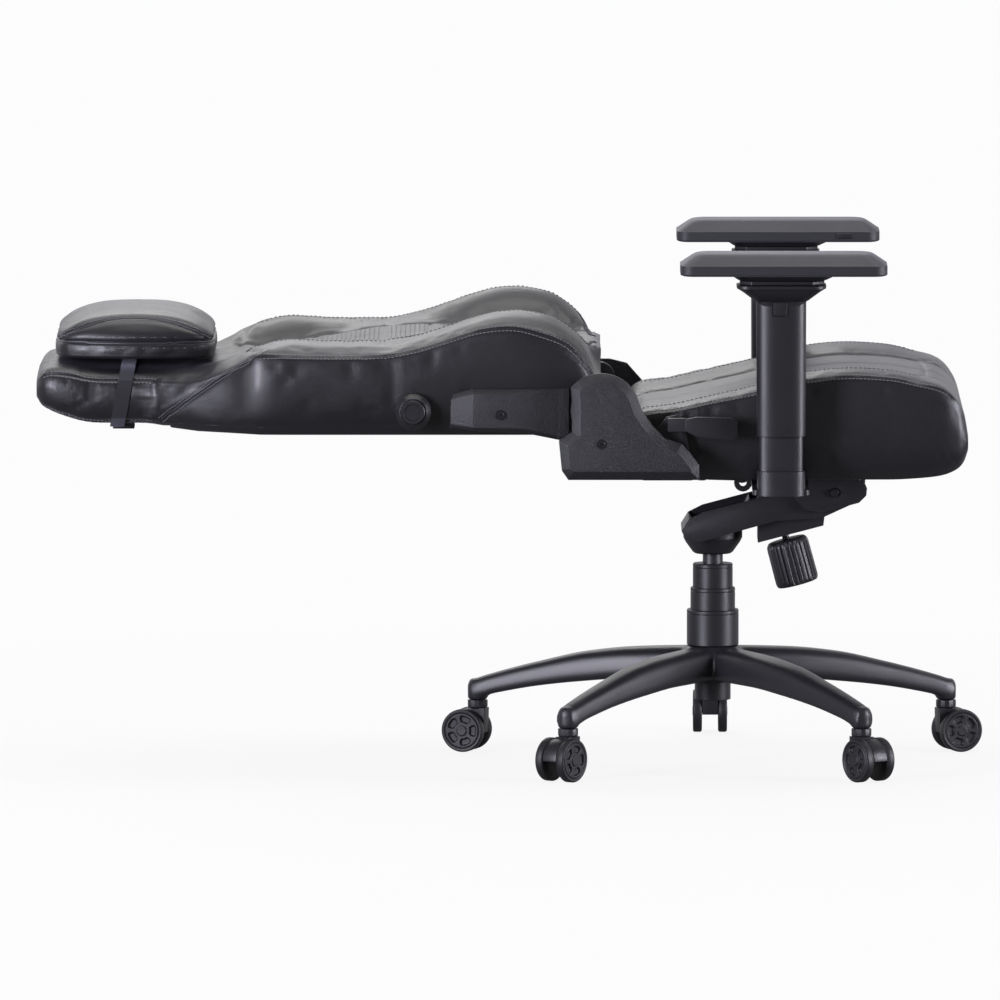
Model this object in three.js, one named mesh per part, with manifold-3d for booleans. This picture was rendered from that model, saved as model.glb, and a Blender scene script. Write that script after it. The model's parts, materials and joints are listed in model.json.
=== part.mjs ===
// A reclining gaming chair on a five-star base, with the backrest let down flat.
// Units are millimetres. +X is forward, +Y is the sitter's left, +Z is up, and the floor is at Z = 0.
// The chair is laid out from the gas lift's axis and the sitter's centre plane, then moved as a whole
// so that the origin lies on the floor under the middle of the chair.
import * as THREE from 'three';
import { mergeVertices } from 'three/addons/utils/BufferGeometryUtils.js';
import Module from 'manifold-3d';

const wasm = await Module();
wasm.setup();

// ---- Driving dimensions ----
const columnX = 281;
const middleY = -23;
const gap = 0.4;

// Base and casters
const legCount = 5;
const firstLegAngle = 18;
const legReach = 343.5;
const hubBottom = 110;
const hubTop = 160;
const socketRadius = 14;
const stemRadius = 5.5;
const wheelDiameter = 60;
const wheelWidth = 12.6;
const wheelInnerGap = 22.8;
const axleRadius = 4;
const casterTrail = 16;
const collarHeight = 12;
const collarTop = wheelDiameter + 12;
const stemLength = 22;
// Heights from the base up are measured for casters whose collars end here.
const standHeight = 72;
const socketBottom = standHeight + gap;

// Gas lift
const cylinderDiameter = 50;
const hubWall = 19;
const hubRadius = cylinderDiameter / 2 + hubWall;
const cylinderBottom = 84;
const cylinderTop = 218;
const pistonDiameter = 28;
const pistonBottom = 152;
const pistonTop = 326;
const coverWall = 2;
const lowerCoverTop = 210;
const middleCoverBottom = 187;
const middleCoverTop = 240.7;
const upperCoverBottom = 215;
const upperCoverTop = 274;
const upperCoverRadius = cylinderDiameter / 2 + 2.7;
const middleCoverRadius = upperCoverRadius + 3.3;
const lowerCoverRadius = middleCoverRadius + 5;

// Tilt mechanism
const housingHalfWidth = 60;
const bossBottom = 288;
const tiltPinX = 168;
const tiltPinZ = 378;
const tiltPinDiameter = 12;
const plateBottom = 399;
const plateThickness = 6;
const plateHalfWidth = 95;
const cheekThickness = 5;
const knobDiameter = 60;
const knobLength = 64;
const knobLean = 15;
const knobTopX = 102;
const knobTopZ = 307;

// Seat
const seatRear = -122;
const seatLength = 476;
const seatWidth = 514;
const seatThickness = 152.4;
const seatBottom = 411.6;
const panThickness = 6;
const panHalfWidth = seatWidth / 2 - 31;

// Recline hinge
const pivotX = -156.7;
const pivotZ = 509.8;
const steelThickness = 6;
const backArmInner = seatWidth / 2;
const hingeDiscRadius = 54;
const hingeCoverOuter = backArmInner + 2 * steelThickness + 31;
const hingeCoverWall = 13;
const leverX = 101.7;
const leverZ = -17.8;
const boltRadius = 8;

// Backrest and pillow
const backLength = 782;
const backWidth = seatWidth + 30;
const backThickness = 167.4;
const backFace = 474.6;
const panelThickness = 11.4;
const frameTubeRadius = 8;
const armCoverLength = 208;
const armCoverOuter = backArmInner + steelThickness + 23;
const lumbarKnobX = pivotX - 258.3;
const lumbarKnobZ = 510;
const lumbarKnobRadius = 25;
const lumbarShaftInner = backWidth / 2 - 32;
const lumbarPlateX = pivotX - 273.3;
const lumbarPlateLength = 100;
const lumbarPlateHalf = 106;
const lumbarTravel = 20;
const pillowLength = 220;
const pillowWidth = 300;
const pillowHeight = 69;
const pillowBase = 571;
const strapWidth = 20;
// The strap runs round the straight part of the head section, as far along as the section's rows have it.
const strapX = pivotX - (659.3 / 782) * backLength;
const pillowX = strapX + 16;

// Armrests
const armSpacing = 2 * (hingeCoverOuter - 6.5);
const postX = 90.6;
const postWidth = 60.6;
const postThickness = 24;
const postFoot = 400;
const postTop = 625;
const collarWidth = postWidth + 5.4;
const sleeveBottom = 477.5;
const sleeveTop = 687;
const sleeveWidth = postWidth + 8.1;
const sleeveDepth = postThickness + 16;
const funnelBottom = 664;
const funnelLength = 123;
const padLength = 284;
const padWidth = 100;
const padHeight = 31.4;
const padX = 93.8;
const buttonLength = 19;
const buttonHeight = 18;
const buttonRise = 1.5;
const buttonTravel = 2;
const buttonZ = 654;

// ---- Materials ----
const leather = new THREE.MeshStandardMaterial({ color: 0x1b1b1f, roughness: 0.42, metalness: 0 });
const webbing = new THREE.MeshStandardMaterial({ color: 0x101012, roughness: 0.9, metalness: 0 });
const plastic = new THREE.MeshStandardMaterial({ color: 0x19191b, roughness: 0.6, metalness: 0 });
const paintedSteel = new THREE.MeshStandardMaterial({ color: 0x161618, roughness: 0.45, metalness: 0.3 });
const paintedAluminium = new THREE.MeshStandardMaterial({ color: 0x1a1a1c, roughness: 0.4, metalness: 0.4 });
const brightSteel = new THREE.MeshStandardMaterial({ color: 0x8d8f93, roughness: 0.25, metalness: 0.9 });
const rubber = new THREE.MeshStandardMaterial({ color: 0x141416, roughness: 0.55, metalness: 0 });
const padFoam = new THREE.MeshStandardMaterial({ color: 0x18181a, roughness: 0.5, metalness: 0 });

// ---- Solid helpers ----
function solid(geometry) {
  const bare = geometry.clone();
  bare.deleteAttribute('normal');
  bare.deleteAttribute('uv');
  const merged = mergeVertices(bare, 1e-4);
  const vertProperties = new Float32Array(merged.attributes.position.array);
  const triVerts = new Uint32Array(merged.index.array);
  return new wasm.Manifold(new wasm.Mesh({ numProp: 3, vertProperties, triVerts }));
}

function geometryOf(manifold) {
  const { vertProperties, triVerts } = manifold.getMesh();
  const geometry = new THREE.BufferGeometry();
  geometry.setAttribute('position', new THREE.BufferAttribute(new Float32Array(vertProperties), 3));
  geometry.setIndex(new THREE.BufferAttribute(new Uint32Array(triVerts), 1));
  geometry.computeVertexNormals();
  return geometry;
}

function union(...solids) {
  return solids.reduce((whole, next) => whole.add(next));
}

function without(body, ...cuts) {
  return cuts.reduce((whole, cut) => whole.subtract(cut), body);
}

function shapeOf(points) {
  return new THREE.Shape(points.map(([x, y]) => new THREE.Vector2(x, y)));
}

function box(xLow, xHigh, yLow, yHigh, zLow, zHigh) {
  const geometry = new THREE.BoxGeometry(xHigh - xLow, yHigh - yLow, zHigh - zLow);
  geometry.translate((xLow + xHigh) / 2, (yLow + yHigh) / 2, (zLow + zHigh) / 2);
  return solid(geometry);
}

// An outline in X and Z, made a plate between two Y values.
function plateAlongY(shape, yLow, yHigh) {
  const depth = yHigh - yLow;
  const geometry = new THREE.ExtrudeGeometry(shape, { depth, bevelEnabled: false, curveSegments: 9 });
  geometry.rotateX(Math.PI / 2);
  geometry.translate(0, yHigh, 0);
  return solid(geometry);
}

// The same plate on one side of the chair: side is +1 for the left and -1 for the right.
function sidePlate(shape, side, inner, outer) {
  return side > 0 ? plateAlongY(shape, inner, outer) : plateAlongY(shape, -outer, -inner);
}

function sideBox(side, xLow, xHigh, inner, outer, zLow, zHigh) {
  const yLow = side > 0 ? inner : -outer;
  const yHigh = side > 0 ? outer : -inner;
  return box(xLow, xHigh, yLow, yHigh, zLow, zHigh);
}

// A cylinder along Y, with its axis at x and z.
function rodAlongY(x, z, radius, yLow, yHigh, segments = 16) {
  const geometry = new THREE.CylinderGeometry(radius, radius, yHigh - yLow, segments);
  geometry.translate(x, (yLow + yHigh) / 2, z);
  return solid(geometry);
}

function sideRod(side, x, z, radius, inner, outer, segments = 16) {
  return side > 0
    ? rodAlongY(x, z, radius, inner, outer, segments)
    : rodAlongY(x, z, radius, -outer, -inner, segments);
}

// A profile of radius and height, turned about the Z axis.
function turned(profile, segments = 24) {
  const points = profile.map(([radius, height]) => new THREE.Vector2(radius, height));
  const geometry = new THREE.LatheGeometry(points, segments);
  geometry.rotateX(Math.PI / 2);
  return solid(geometry);
}

function moved(manifold, x, y, z) {
  return manifold.translate([x, y, z]);
}

// Closed skin over sections of equal point count. Each section lies across X and is given as
// points in Y and Z that run anticlockwise seen from +X.
function loftAlongX(sections) {
  const count = sections[0].outline.length;
  const positions = [];
  const faces = [];
  for (const { x, outline } of sections) {
    for (const [y, z] of outline) {
      positions.push(x, y, z);
    }
  }
  for (let row = 0; row < sections.length - 1; row += 1) {
    for (let column = 0; column < count; column += 1) {
      const next = (column + 1) % count;
      const a = row * count + column;
      const b = row * count + next;
      faces.push(a, b, b + count, a, b + count, a + count);
    }
  }
  const last = (sections.length - 1) * count;
  for (const [start, flip] of [[0, true], [last, false]]) {
    const outline = sections[start / count].outline;
    const contour = outline.map(([y, z]) => new THREE.Vector2(y, z));
    for (const [a, b, c] of THREE.ShapeUtils.triangulateShape(contour, [])) {
      faces.push(...(flip ? [start + c, start + b, start + a] : [start + a, start + b, start + c]));
    }
  }
  const geometry = new THREE.BufferGeometry();
  geometry.setAttribute('position', new THREE.Float32BufferAttribute(positions, 3));
  geometry.setIndex(faces);
  return geometry;
}

// The same skin over plan outlines in X and Y, stacked up Z.
function loftAlongZ(sections) {
  const turnedSections = sections.map(({ z, outline }) => ({
    x: z,
    outline: outline.map(([x, y]) => [y, -x]),
  }));
  return loftAlongX(turnedSections).rotateY(-Math.PI / 2);
}

// A rectangle with cut corners, in plan.
function cutRectangle(centreX, centreY, length, width, cutX, cutY = cutX) {
  const halfLength = length / 2;
  const halfWidth = width / 2;
  return [
    [centreX + halfLength, centreY - halfWidth + cutY],
    [centreX + halfLength, centreY + halfWidth - cutY],
    [centreX + halfLength - cutX, centreY + halfWidth],
    [centreX - halfLength + cutX, centreY + halfWidth],
    [centreX - halfLength, centreY + halfWidth - cutY],
    [centreX - halfLength, centreY - halfWidth + cutY],
    [centreX - halfLength + cutX, centreY - halfWidth],
    [centreX + halfLength - cutX, centreY - halfWidth],
  ];
}

const chair = new THREE.Group();
chair.position.set(columnX, middleY, 0);

const upper = new THREE.Group();
upper.position.z = collarTop - standHeight;
chair.add(upper);

function addPart(name, manifold, material, parent = upper) {
  const mesh = new THREE.Mesh(geometryOf(manifold), material);
  mesh.name = name;
  parent.add(mesh);
  return mesh;
}

// ---- Star base ----
// One leg along +X, with a rounded back and a chamfered underside, deepest at the hub.
function starLeg() {
  const stations = [
    { reach: 0.06, top: 158, bottom: 113, half: 28 },
    { reach: 0.34, top: 154, bottom: 111, half: 27 },
    { reach: 0.53, top: 146, bottom: 105, half: 24 },
    { reach: 0.73, top: 130, bottom: 96, half: 20 },
    { reach: 0.92, top: 112, bottom: 83, half: 16 },
    { reach: 1.0, top: 102, bottom: 76, half: 14 },
  ];
  const sections = stations.map(({ reach, top, bottom, half }) => {
    const height = top - bottom;
    const side = [[0.7 * half, bottom], [half, bottom + 0.15 * height], [half, top - 0.45 * height],
      [0.72 * half, top - 0.12 * height], [0.3 * half, top]];
    const mirrored = side.map(([y, z]) => [-y, z]).reverse();
    return { x: reach * legReach, outline: [...side, ...mirrored] };
  });
  return solid(loftAlongX(sections));
}

function starBase() {
  const hub = turned([[0, hubBottom], [hubRadius - 6, hubBottom], [hubRadius, hubBottom + 8],
    [hubRadius, hubTop - 6], [hubRadius - 6, hubTop], [0, hubTop]]);
  const socket = turned([[0, socketBottom], [socketRadius, socketBottom], [socketRadius, 92],
    [socketRadius - 4, 99], [0, 102]], 14);
  const boreRadius = stemRadius + 1.5 * gap;
  const boreTop = standHeight + stemLength + 2;
  const bore = turned([[0, socketBottom - 1], [boreRadius, socketBottom - 1], [boreRadius, boreTop],
    [0, boreTop]], 12);
  const leg = starLeg().add(moved(socket, legReach, 0, 0));
  const stemBore = moved(bore, legReach, 0, 0);
  let body = hub;
  let bores = turned([[0, hubBottom - 1], [cylinderDiameter / 2 + gap, hubBottom - 1],
    [cylinderDiameter / 2 + gap, hubTop + 1], [0, hubTop + 1]]);
  for (let index = 0; index < legCount; index += 1) {
    const turn = firstLegAngle + (360 / legCount) * index;
    body = body.add(leg.rotate([0, 0, turn]));
    bores = bores.add(stemBore.rotate([0, 0, turn]));
  }
  return body.subtract(bores);
}

// ---- Casters ----
// Two wheels on one axle, turned about the axle as one body.
function casterWheels() {
  const radius = wheelDiameter / 2 / Math.cos(Math.PI / 24);
  const inner = wheelInnerGap / 2;
  const outer = inner + wheelWidth;
  const half = [[radius - 1.6, outer], [radius, outer - 1.6], [radius, inner], [axleRadius, inner]];
  const profile = [[0, outer], ...half, ...half.map(([r, y]) => [r, -y]).reverse(), [0, -outer]];
  const points = profile.map(([r, y]) => new THREE.Vector2(r, y)).reverse();
  const geometry = new THREE.LatheGeometry(points, 24);
  geometry.rotateY(Math.PI / 24);
  return solid(geometry);
}

// The fork between the wheels, with its stem. The swivel axis is at x = 0.
function casterHood() {
  const halfThickness = wheelInnerGap / 2 - gap;
  const axleZ = wheelDiameter / 2;
  const radius = wheelDiameter / 2 - 1.5;
  const shape = new THREE.Shape();
  shape.moveTo(casterTrail + radius, axleZ - 3);
  shape.absarc(casterTrail, axleZ, radius, 0, Math.PI / 2, false);
  shape.lineTo(socketRadius, collarTop - collarHeight + 1);
  shape.lineTo(-socketRadius + 1, collarTop - collarHeight + 1);
  shape.lineTo(casterTrail - radius, axleZ + 8);
  shape.lineTo(casterTrail - radius, axleZ - 3);
  const web = plateAlongY(shape, -halfThickness, halfThickness);
  const collarBottom = collarTop - collarHeight;
  const stemTop = collarTop + stemLength;
  const collar = turned([[0, collarBottom], [socketRadius - 2, collarBottom],
    [socketRadius, collarBottom + 3], [socketRadius, collarTop], [stemRadius, collarTop],
    [stemRadius, stemTop], [0, stemTop]], 14);
  const reach = halfThickness + 1;
  const axleBore = rodAlongY(casterTrail, axleZ, axleRadius + gap, -reach, reach, 10);
  return without(union(web, collar), axleBore);
}

function addCasters() {
  for (let index = 0; index < legCount; index += 1) {
    const caster = new THREE.Group();
    const angle = THREE.MathUtils.degToRad(firstLegAngle + (360 / legCount) * index);
    caster.position.set(legReach * Math.cos(angle), legReach * Math.sin(angle), 0);
    caster.rotation.z = angle;
    chair.add(caster);
    addPart(`caster_hood_${index + 1}`, casterHood(), plastic, caster);
    const wheels = moved(casterWheels(), casterTrail, 0, wheelDiameter / 2);
    addPart(`caster_wheels_${index + 1}`, wheels, rubber, caster);
  }
}

// ---- Gas lift ----
function gasCylinder() {
  const radius = cylinderDiameter / 2;
  const bore = pistonDiameter / 2 + gap;
  return turned([[0, cylinderBottom], [radius, cylinderBottom], [radius, cylinderTop], [bore, cylinderTop],
    [bore, cylinderBottom + 6], [0, cylinderBottom + 6]]);
}

function coverTube(bottom, top, radius, wall) {
  const inner = radius - wall;
  return turned([[inner, bottom], [radius, bottom], [radius, top], [inner, top], [inner, bottom]]);
}

function pistonRod() {
  const radius = pistonDiameter / 2;
  return turned([[0, pistonBottom], [radius, pistonBottom], [radius, pistonTop - 4],
    [radius - 1.5, pistonTop], [0, pistonTop]]);
}

function addGasLift() {
  const lowerCover = coverTube(hubTop + gap, lowerCoverTop, lowerCoverRadius, coverWall + 0.5);
  const middleCover = coverTube(middleCoverBottom, middleCoverTop, middleCoverRadius, coverWall);
  const upperInner = cylinderDiameter / 2 + gap;
  const upperCover = turned([[upperInner, upperCoverBottom], [upperCoverRadius - 1.2, upperCoverBottom],
    [upperCoverRadius, upperCoverTop], [pistonDiameter / 2 + gap, upperCoverTop],
    [pistonDiameter / 2 + gap, upperCoverTop - 2], [upperInner, upperCoverTop - 2],
    [upperInner, upperCoverBottom]]);
  addPart('gas_cylinder', gasCylinder(), paintedSteel);
  addPart('lift_cover_lower', lowerCover, plastic);
  addPart('lift_cover_middle', middleCover, plastic);
  addPart('lift_cover_upper', upperCover, plastic);
  addPart('piston_rod', pistonRod(), paintedSteel);
}

// ---- Tilt mechanism ----
function knobFrame() {
  const frame = new THREE.Matrix4().makeRotationY(THREE.MathUtils.degToRad(-knobLean));
  frame.setPosition(knobTopX, 0, knobTopZ);
  return frame;
}

// A lathe made along the leaning knob axis, with height 0 at the knob's top.
function onKnobAxis(profile, segments) {
  const points = profile.map(([radius, height]) => new THREE.Vector2(radius, height));
  const geometry = new THREE.LatheGeometry(points, segments);
  geometry.rotateX(Math.PI / 2);
  geometry.applyMatrix4(knobFrame());
  return solid(geometry);
}

function tiltHousing() {
  const body = shapeOf([[-44, 324], [-38, 312], [-20, 308], [86, 338], [150, 342], [198, 364], [204, 376],
    [196, 388], [150, 388], [110, 381], [61, 370], [-14, 350], [-34, 340]]);
  const springBox = shapeOf([[62, 313], [153, 337], [156, 350], [62, 345]]);
  const cavity = shapeOf([[50, 338], [70, 326], [140, 344], [148, 400], [50, 400]]);
  const boss = turned([[0, bossBottom], [25, bossBottom], [28, bossBottom + 2], [38, bossBottom + 16],
    [41, bossBottom + 22], [41, bossBottom + 40], [0, bossBottom + 40]]);
  const socket = turned([[0, bossBottom - 1], [pistonDiameter / 2 + gap, bossBottom - 1],
    [pistonDiameter / 2 + gap, pistonTop + gap], [0, pistonTop + gap]]);
  const springHalf = 42;
  const wall = 4;
  const pinBore = rodAlongY(tiltPinX, tiltPinZ, tiltPinDiameter / 2 + gap, -housingHalfWidth - 1,
    housingHalfWidth + 1);
  const knobBore = onKnobAxis([[0, 5], [5 + gap, 5], [5 + gap, 34], [0, 34]], 16);
  const whole = union(plateAlongY(body, -housingHalfWidth, housingHalfWidth),
    plateAlongY(springBox, -springHalf, springHalf), boss);
  return without(whole, plateAlongY(cavity, -springHalf + wall, springHalf - wall), socket, pinBore,
    knobBore);
}

function tensionKnob() {
  const flutes = 16;
  const outline = [];
  for (let index = 0; index < 2 * flutes; index += 1) {
    const radius = knobDiameter / 2 - (index % 2 ? 1.8 : 0);
    const angle = (Math.PI * index) / flutes;
    outline.push([radius * Math.cos(angle), radius * Math.sin(angle)]);
  }
  const shrink = (scale) => outline.map(([x, y]) => [scale * x, scale * y]);
  const body = loftAlongZ([{ z: -knobLength, outline: shrink(0.9) }, { z: 3 - knobLength, outline },
    { z: -4, outline }, { z: 0, outline: shrink(0.86) }]);
  body.applyMatrix4(knobFrame());
  const shaft = onKnobAxis([[0, -5], [5, -5], [5, 30], [0, 30]], 16);
  return solid(body).add(shaft);
}

// A coil around the knob's shaft, inside the housing.
function tensionSpring() {
  const turns = 3;
  const stepsPerTurn = 10;
  const radius = 14;
  const pitch = 7;
  const start = 33;
  const points = [];
  for (let index = 0; index <= turns * stepsPerTurn; index += 1) {
    const angle = (2 * Math.PI * index) / stepsPerTurn;
    const height = start + (pitch * index) / stepsPerTurn;
    points.push(new THREE.Vector3(radius * Math.cos(angle), radius * Math.sin(angle), height));
  }
  const path = new THREE.CatmullRomCurve3(points);
  const wire = [];
  for (let index = 0; index < 6; index += 1) {
    const angle = (Math.PI * index) / 3;
    wire.push([2 * Math.cos(angle), 2 * Math.sin(angle)]);
  }
  const geometry = new THREE.ExtrudeGeometry(shapeOf(wire), {
    steps: turns * stepsPerTurn, bevelEnabled: false, extrudePath: path,
  });
  geometry.applyMatrix4(knobFrame());
  return solid(geometry);
}

// The lever that opens the gas lift's valve, on the left side.
function liftLever() {
  const rodX = 30;
  const path = new THREE.CatmullRomCurve3([
    new THREE.Vector3(rodX, housingHalfWidth + gap, 338),
    new THREE.Vector3(rodX, 110, 335),
    new THREE.Vector3(rodX, 170, 327),
    new THREE.Vector3(rodX, 225, 320),
  ]);
  const section = shapeOf([[4, 0], [2, 3.5], [-2, 3.5], [-4, 0], [-2, -3.5], [2, -3.5]]);
  const rod = new THREE.ExtrudeGeometry(section, { steps: 8, bevelEnabled: false, extrudePath: path });
  const paddle = loftAlongZ([
    { z: 313, outline: cutRectangle(rodX, 233, 30, 50, 9) },
    { z: 317, outline: cutRectangle(rodX, 233, 38, 58, 11) },
    { z: 323, outline: cutRectangle(rodX, 233, 38, 58, 11) },
    { z: 326, outline: cutRectangle(rodX, 233, 30, 50, 9) },
  ]);
  return solid(rod).add(solid(paddle));
}

// The plate that carries the seat: a top with two cheeks that hang on the tilt pin.
function seatPlate() {
  const inner = housingHalfWidth + 1.4;
  const outer = inner + cheekThickness;
  const top = box(-30, 213, -plateHalfWidth, plateHalfWidth, plateBottom, plateBottom + plateThickness);
  const cheek = shapeOf([[-8, plateBottom + 1], [-8, 396], [108, 393], [112, 372], [126, 354], [150, 350],
    [202, 364], [212, 374], [213, 384], [208, 396], [204, plateBottom + 1]]);
  const lugX = 41;
  const lugZ = 392;
  const pieces = [top];
  for (const side of [1, -1]) {
    pieces.push(sidePlate(cheek, side, inner, outer), sideRod(side, lugX, lugZ, 12.5, inner, outer));
  }
  const reach = outer + 1;
  const pinBore = rodAlongY(tiltPinX, tiltPinZ, tiltPinDiameter / 2 + gap, -reach, reach);
  return without(union(...pieces), pinBore, rodAlongY(lugX, lugZ, 5, -reach, reach));
}

function addMechanism() {
  const pinReach = housingHalfWidth + 1.4 + cheekThickness + 4;
  const pin = rodAlongY(tiltPinX, tiltPinZ, tiltPinDiameter / 2, -pinReach, pinReach);
  addPart('tilt_housing', tiltHousing(), paintedSteel);
  addPart('tilt_pin', pin, brightSteel);
  addPart('tension_spring', tensionSpring(), brightSteel);
  addPart('tension_knob', tensionKnob(), plastic);
  addPart('lift_lever', liftLever(), plastic);
  addPart('seat_plate', seatPlate(), paintedSteel);
}

// ---- Padded shells ----
// Sections of a bucket cushion. Every row gives the distance from the hinge end, the underside, the
// half width, the side seam's height, the bolster crest's place and height, and the middle's height.
function bucketSections(rows, { start, direction, length, width, thickness, bottom }) {
  const longest = Math.max(...rows.map((row) => row[0]));
  const widest = Math.max(...rows.map((row) => row[2]));
  const tallest = Math.max(...rows.map((row) => row[5]));
  const scaled = rows.map(([at, under, half, seam, crestAt, crest, middle]) => {
    const high = (value) => bottom + (value * thickness) / tallest;
    const wide = (value) => (value * width) / 2 / widest;
    return {
      x: start + (direction * at * length) / longest,
      outline: bucketOutline(high(under), wide(half), high(seam), wide(crestAt), high(crest), high(middle)),
    };
  });
  return direction > 0 ? scaled : scaled.reverse();
}

function bucketOutline(under, half, seam, crestAt, crest, middle) {
  const side = [
    [half - 26, under],
    [half - 7, under + 0.2 * (seam - under)],
    [half, under + 0.6 * (seam - under)],
    [half - 4, seam],
    [half - 0.45 * (half - crestAt), seam + 0.75 * (crest - seam)],
    [crestAt, crest],
    [crestAt - 0.2 * crestAt, crest - 0.3 * (crest - middle)],
    [crestAt - 0.38 * crestAt, middle + 0.08 * (crest - middle)],
  ];
  const mirrored = side.map(([y, z]) => [-y, z]).reverse();
  return [...side, ...mirrored];
}

// ---- Seat ----
function seatCushion() {
  const rows = [
    [0, 8, 240, 84, 190, 86, 78],
    [22, 1, 252, 99, 196, 103, 91],
    [63, 0, 255, 103, 199, 107, 95],
    [104, 0, 256, 110, 200, 114, 102],
    [183, 0, 257, 126, 201, 130, 118],
    [250, 0, 257, 143, 202, 147, 134],
    [313, 0, 257, 148, 202, 152.4, 140],
    [368, 0, 256, 145, 202, 149, 138],
    [410, 2, 255, 135, 201, 139, 131],
    [438, 5, 253, 128, 198, 131, 126],
    [459, 12, 249, 111, 194, 114, 112],
    [471, 24, 243, 88, 188, 91, 90],
    [476, 38, 236, 60, 180, 62, 62],
  ];
  const shell = solid(loftAlongX(bucketSections(rows, {
    start: seatRear, direction: 1, length: seatLength, width: seatWidth, thickness: seatThickness,
    bottom: seatBottom,
  })));
  return without(shell, seatPan(gap));
}

// The board under the foam, with an ear on each side that the recliner plates stand against.
function seatPan(margin = 0) {
  const rear = seatRear + 17;
  const front = seatRear + seatLength - 64;
  const boardBottom = seatBottom + 1.7;
  const board = box(rear - margin, front + margin, -panHalfWidth - margin, panHalfWidth + margin,
    boardBottom - margin, boardBottom + panThickness + margin);
  const lower = box(rear + 40 - margin, front - 60 + margin, -150 - margin, 150 + margin,
    plateBottom + plateThickness + gap - 3 * margin, boardBottom + 1);
  const earReach = backArmInner + steelThickness + gap;
  const ears = box(rear + 5 - margin, rear + 75 + margin, -earReach, earReach, boardBottom - margin,
    boardBottom + panThickness + margin);
  return union(board, lower, ears);
}

// ---- Recline hinge ----
function atPivot(points) {
  return shapeOf(points.map(([x, z]) => [pivotX + x, pivotZ + z]));
}

const plateInner = backArmInner + steelThickness + 1;
const plateOuter = plateInner + steelThickness;

// The left hinge has no ratchet inside, so its disc and hub are smaller than the right one's.
const plainHubRadius = 22;

function reclinerPlate(side) {
  const foot = atPivot([[-46, -58], [-42, -90], [122, -90], [122, -60], [114, -12], [104, -5], [90, -8],
    [70, -34], [36, -20], [-36, -20]]);
  const discRadius = side > 0 ? plainHubRadius : 42;
  const disc = sideRod(side, pivotX, pivotZ, discRadius, plateInner, plateOuter, 28);
  const reach = [plateInner - 1, plateOuter + 1];
  return without(union(sidePlate(foot, side, plateInner, plateOuter), disc),
    sideRod(side, pivotX, pivotZ, boltRadius + gap, ...reach),
    sideRod(side, pivotX + leverX, pivotZ + leverZ, 4 + gap, ...reach, 16));
}

function hingeCoverShape(side) {
  const foot = [[-58, -39], [-54, -80], [-45, -93], [135, -93], [135, -73], [125, -59], [111, -43],
    [88, -36]];
  if (side > 0) {
    const crown = plainHubRadius + 2;
    return atPivot([...foot, [74, -24], [62, -8], [39, crown - 6], [15, crown], [-20, crown],
      [-40, 14], [-40, -27]]);
  }
  const shape = new THREE.Shape();
  const place = (x, z) => [pivotX + x, pivotZ + z];
  const [start, ...others] = foot;
  shape.moveTo(...place(...start));
  for (const [x, z] of [...others, [70, -18], [56, 3]]) {
    shape.lineTo(...place(x, z));
  }
  shape.absarc(...place(0, 0), hingeDiscRadius, Math.PI * 0.14, Math.PI * 0.78, false);
  shape.lineTo(...place(-40, 14));
  shape.lineTo(...place(-40, -27));
  return shape;
}

function hingeCover(side) {
  const wallInner = hingeCoverOuter - hingeCoverWall;
  const skirtInner = plateOuter + 1;
  const skirtPocket = atPivot([[-48, -60], [-42, -87], [129, -87], [129, -76], [106, -49], [86, -44],
    [62, -60]]);
  const skirt = without(
    sidePlate(hingeCoverShape(side), side, skirtInner, wallInner + 1),
    sideRod(side, pivotX, pivotZ, 66, skirtInner - 1, wallInner, 36),
    sideBox(side, pivotX - 90, pivotX, skirtInner - 1, wallInner, pivotZ - 44, pivotZ + 60),
    sidePlate(skirtPocket, side, skirtInner - 1, wallInner),
  );
  return union(sidePlate(hingeCoverShape(side), side, wallInner, hingeCoverOuter), skirt);
}

function pivotBolt(side) {
  return union(sideRod(side, pivotX, pivotZ, boltRadius, backArmInner - gap, plateOuter + 4),
    sideRod(side, pivotX, pivotZ, 13, plateOuter + gap, plateOuter + 7));
}

// The handle that frees the recliner, on the right side.
function reclineLever() {
  const x = pivotX + leverX;
  const z = pivotZ + leverZ;
  const inner = plateOuter + 0.6;
  const block = sideBox(-1, x - 10, x + 15, inner, inner + 17, z - 9, z + 9);
  const paddle = shapeOf([[x + 14, z + 8], [x + 14, z - 8], [x + 30, z - 16], [x + 78, z - 21],
    [x + 86, z - 16], [x + 86, z + 4], [x + 78, z + 10], [x + 30, z + 11]]);
  const pin = sideRod(-1, x, z, 4, plateInner, inner + 4, 16);
  return union(block, sidePlate(paddle, -1, inner + 5, inner + 19), pin);
}

function addSeat() {
  addPart('seat_pan', seatPan(), paintedSteel);
  addPart('seat_cushion', seatCushion(), leather);
  for (const [side, label] of [[1, 'left'], [-1, 'right']]) {
    addPart(`recliner_plate_${label}`, reclinerPlate(side), paintedSteel);
    addPart(`pivot_bolt_${label}`, pivotBolt(side), brightSteel);
    addPart(`hinge_cover_${label}`, hingeCover(side), plastic);
  }
  addPart('recline_lever', reclineLever(), plastic);
}

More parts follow.
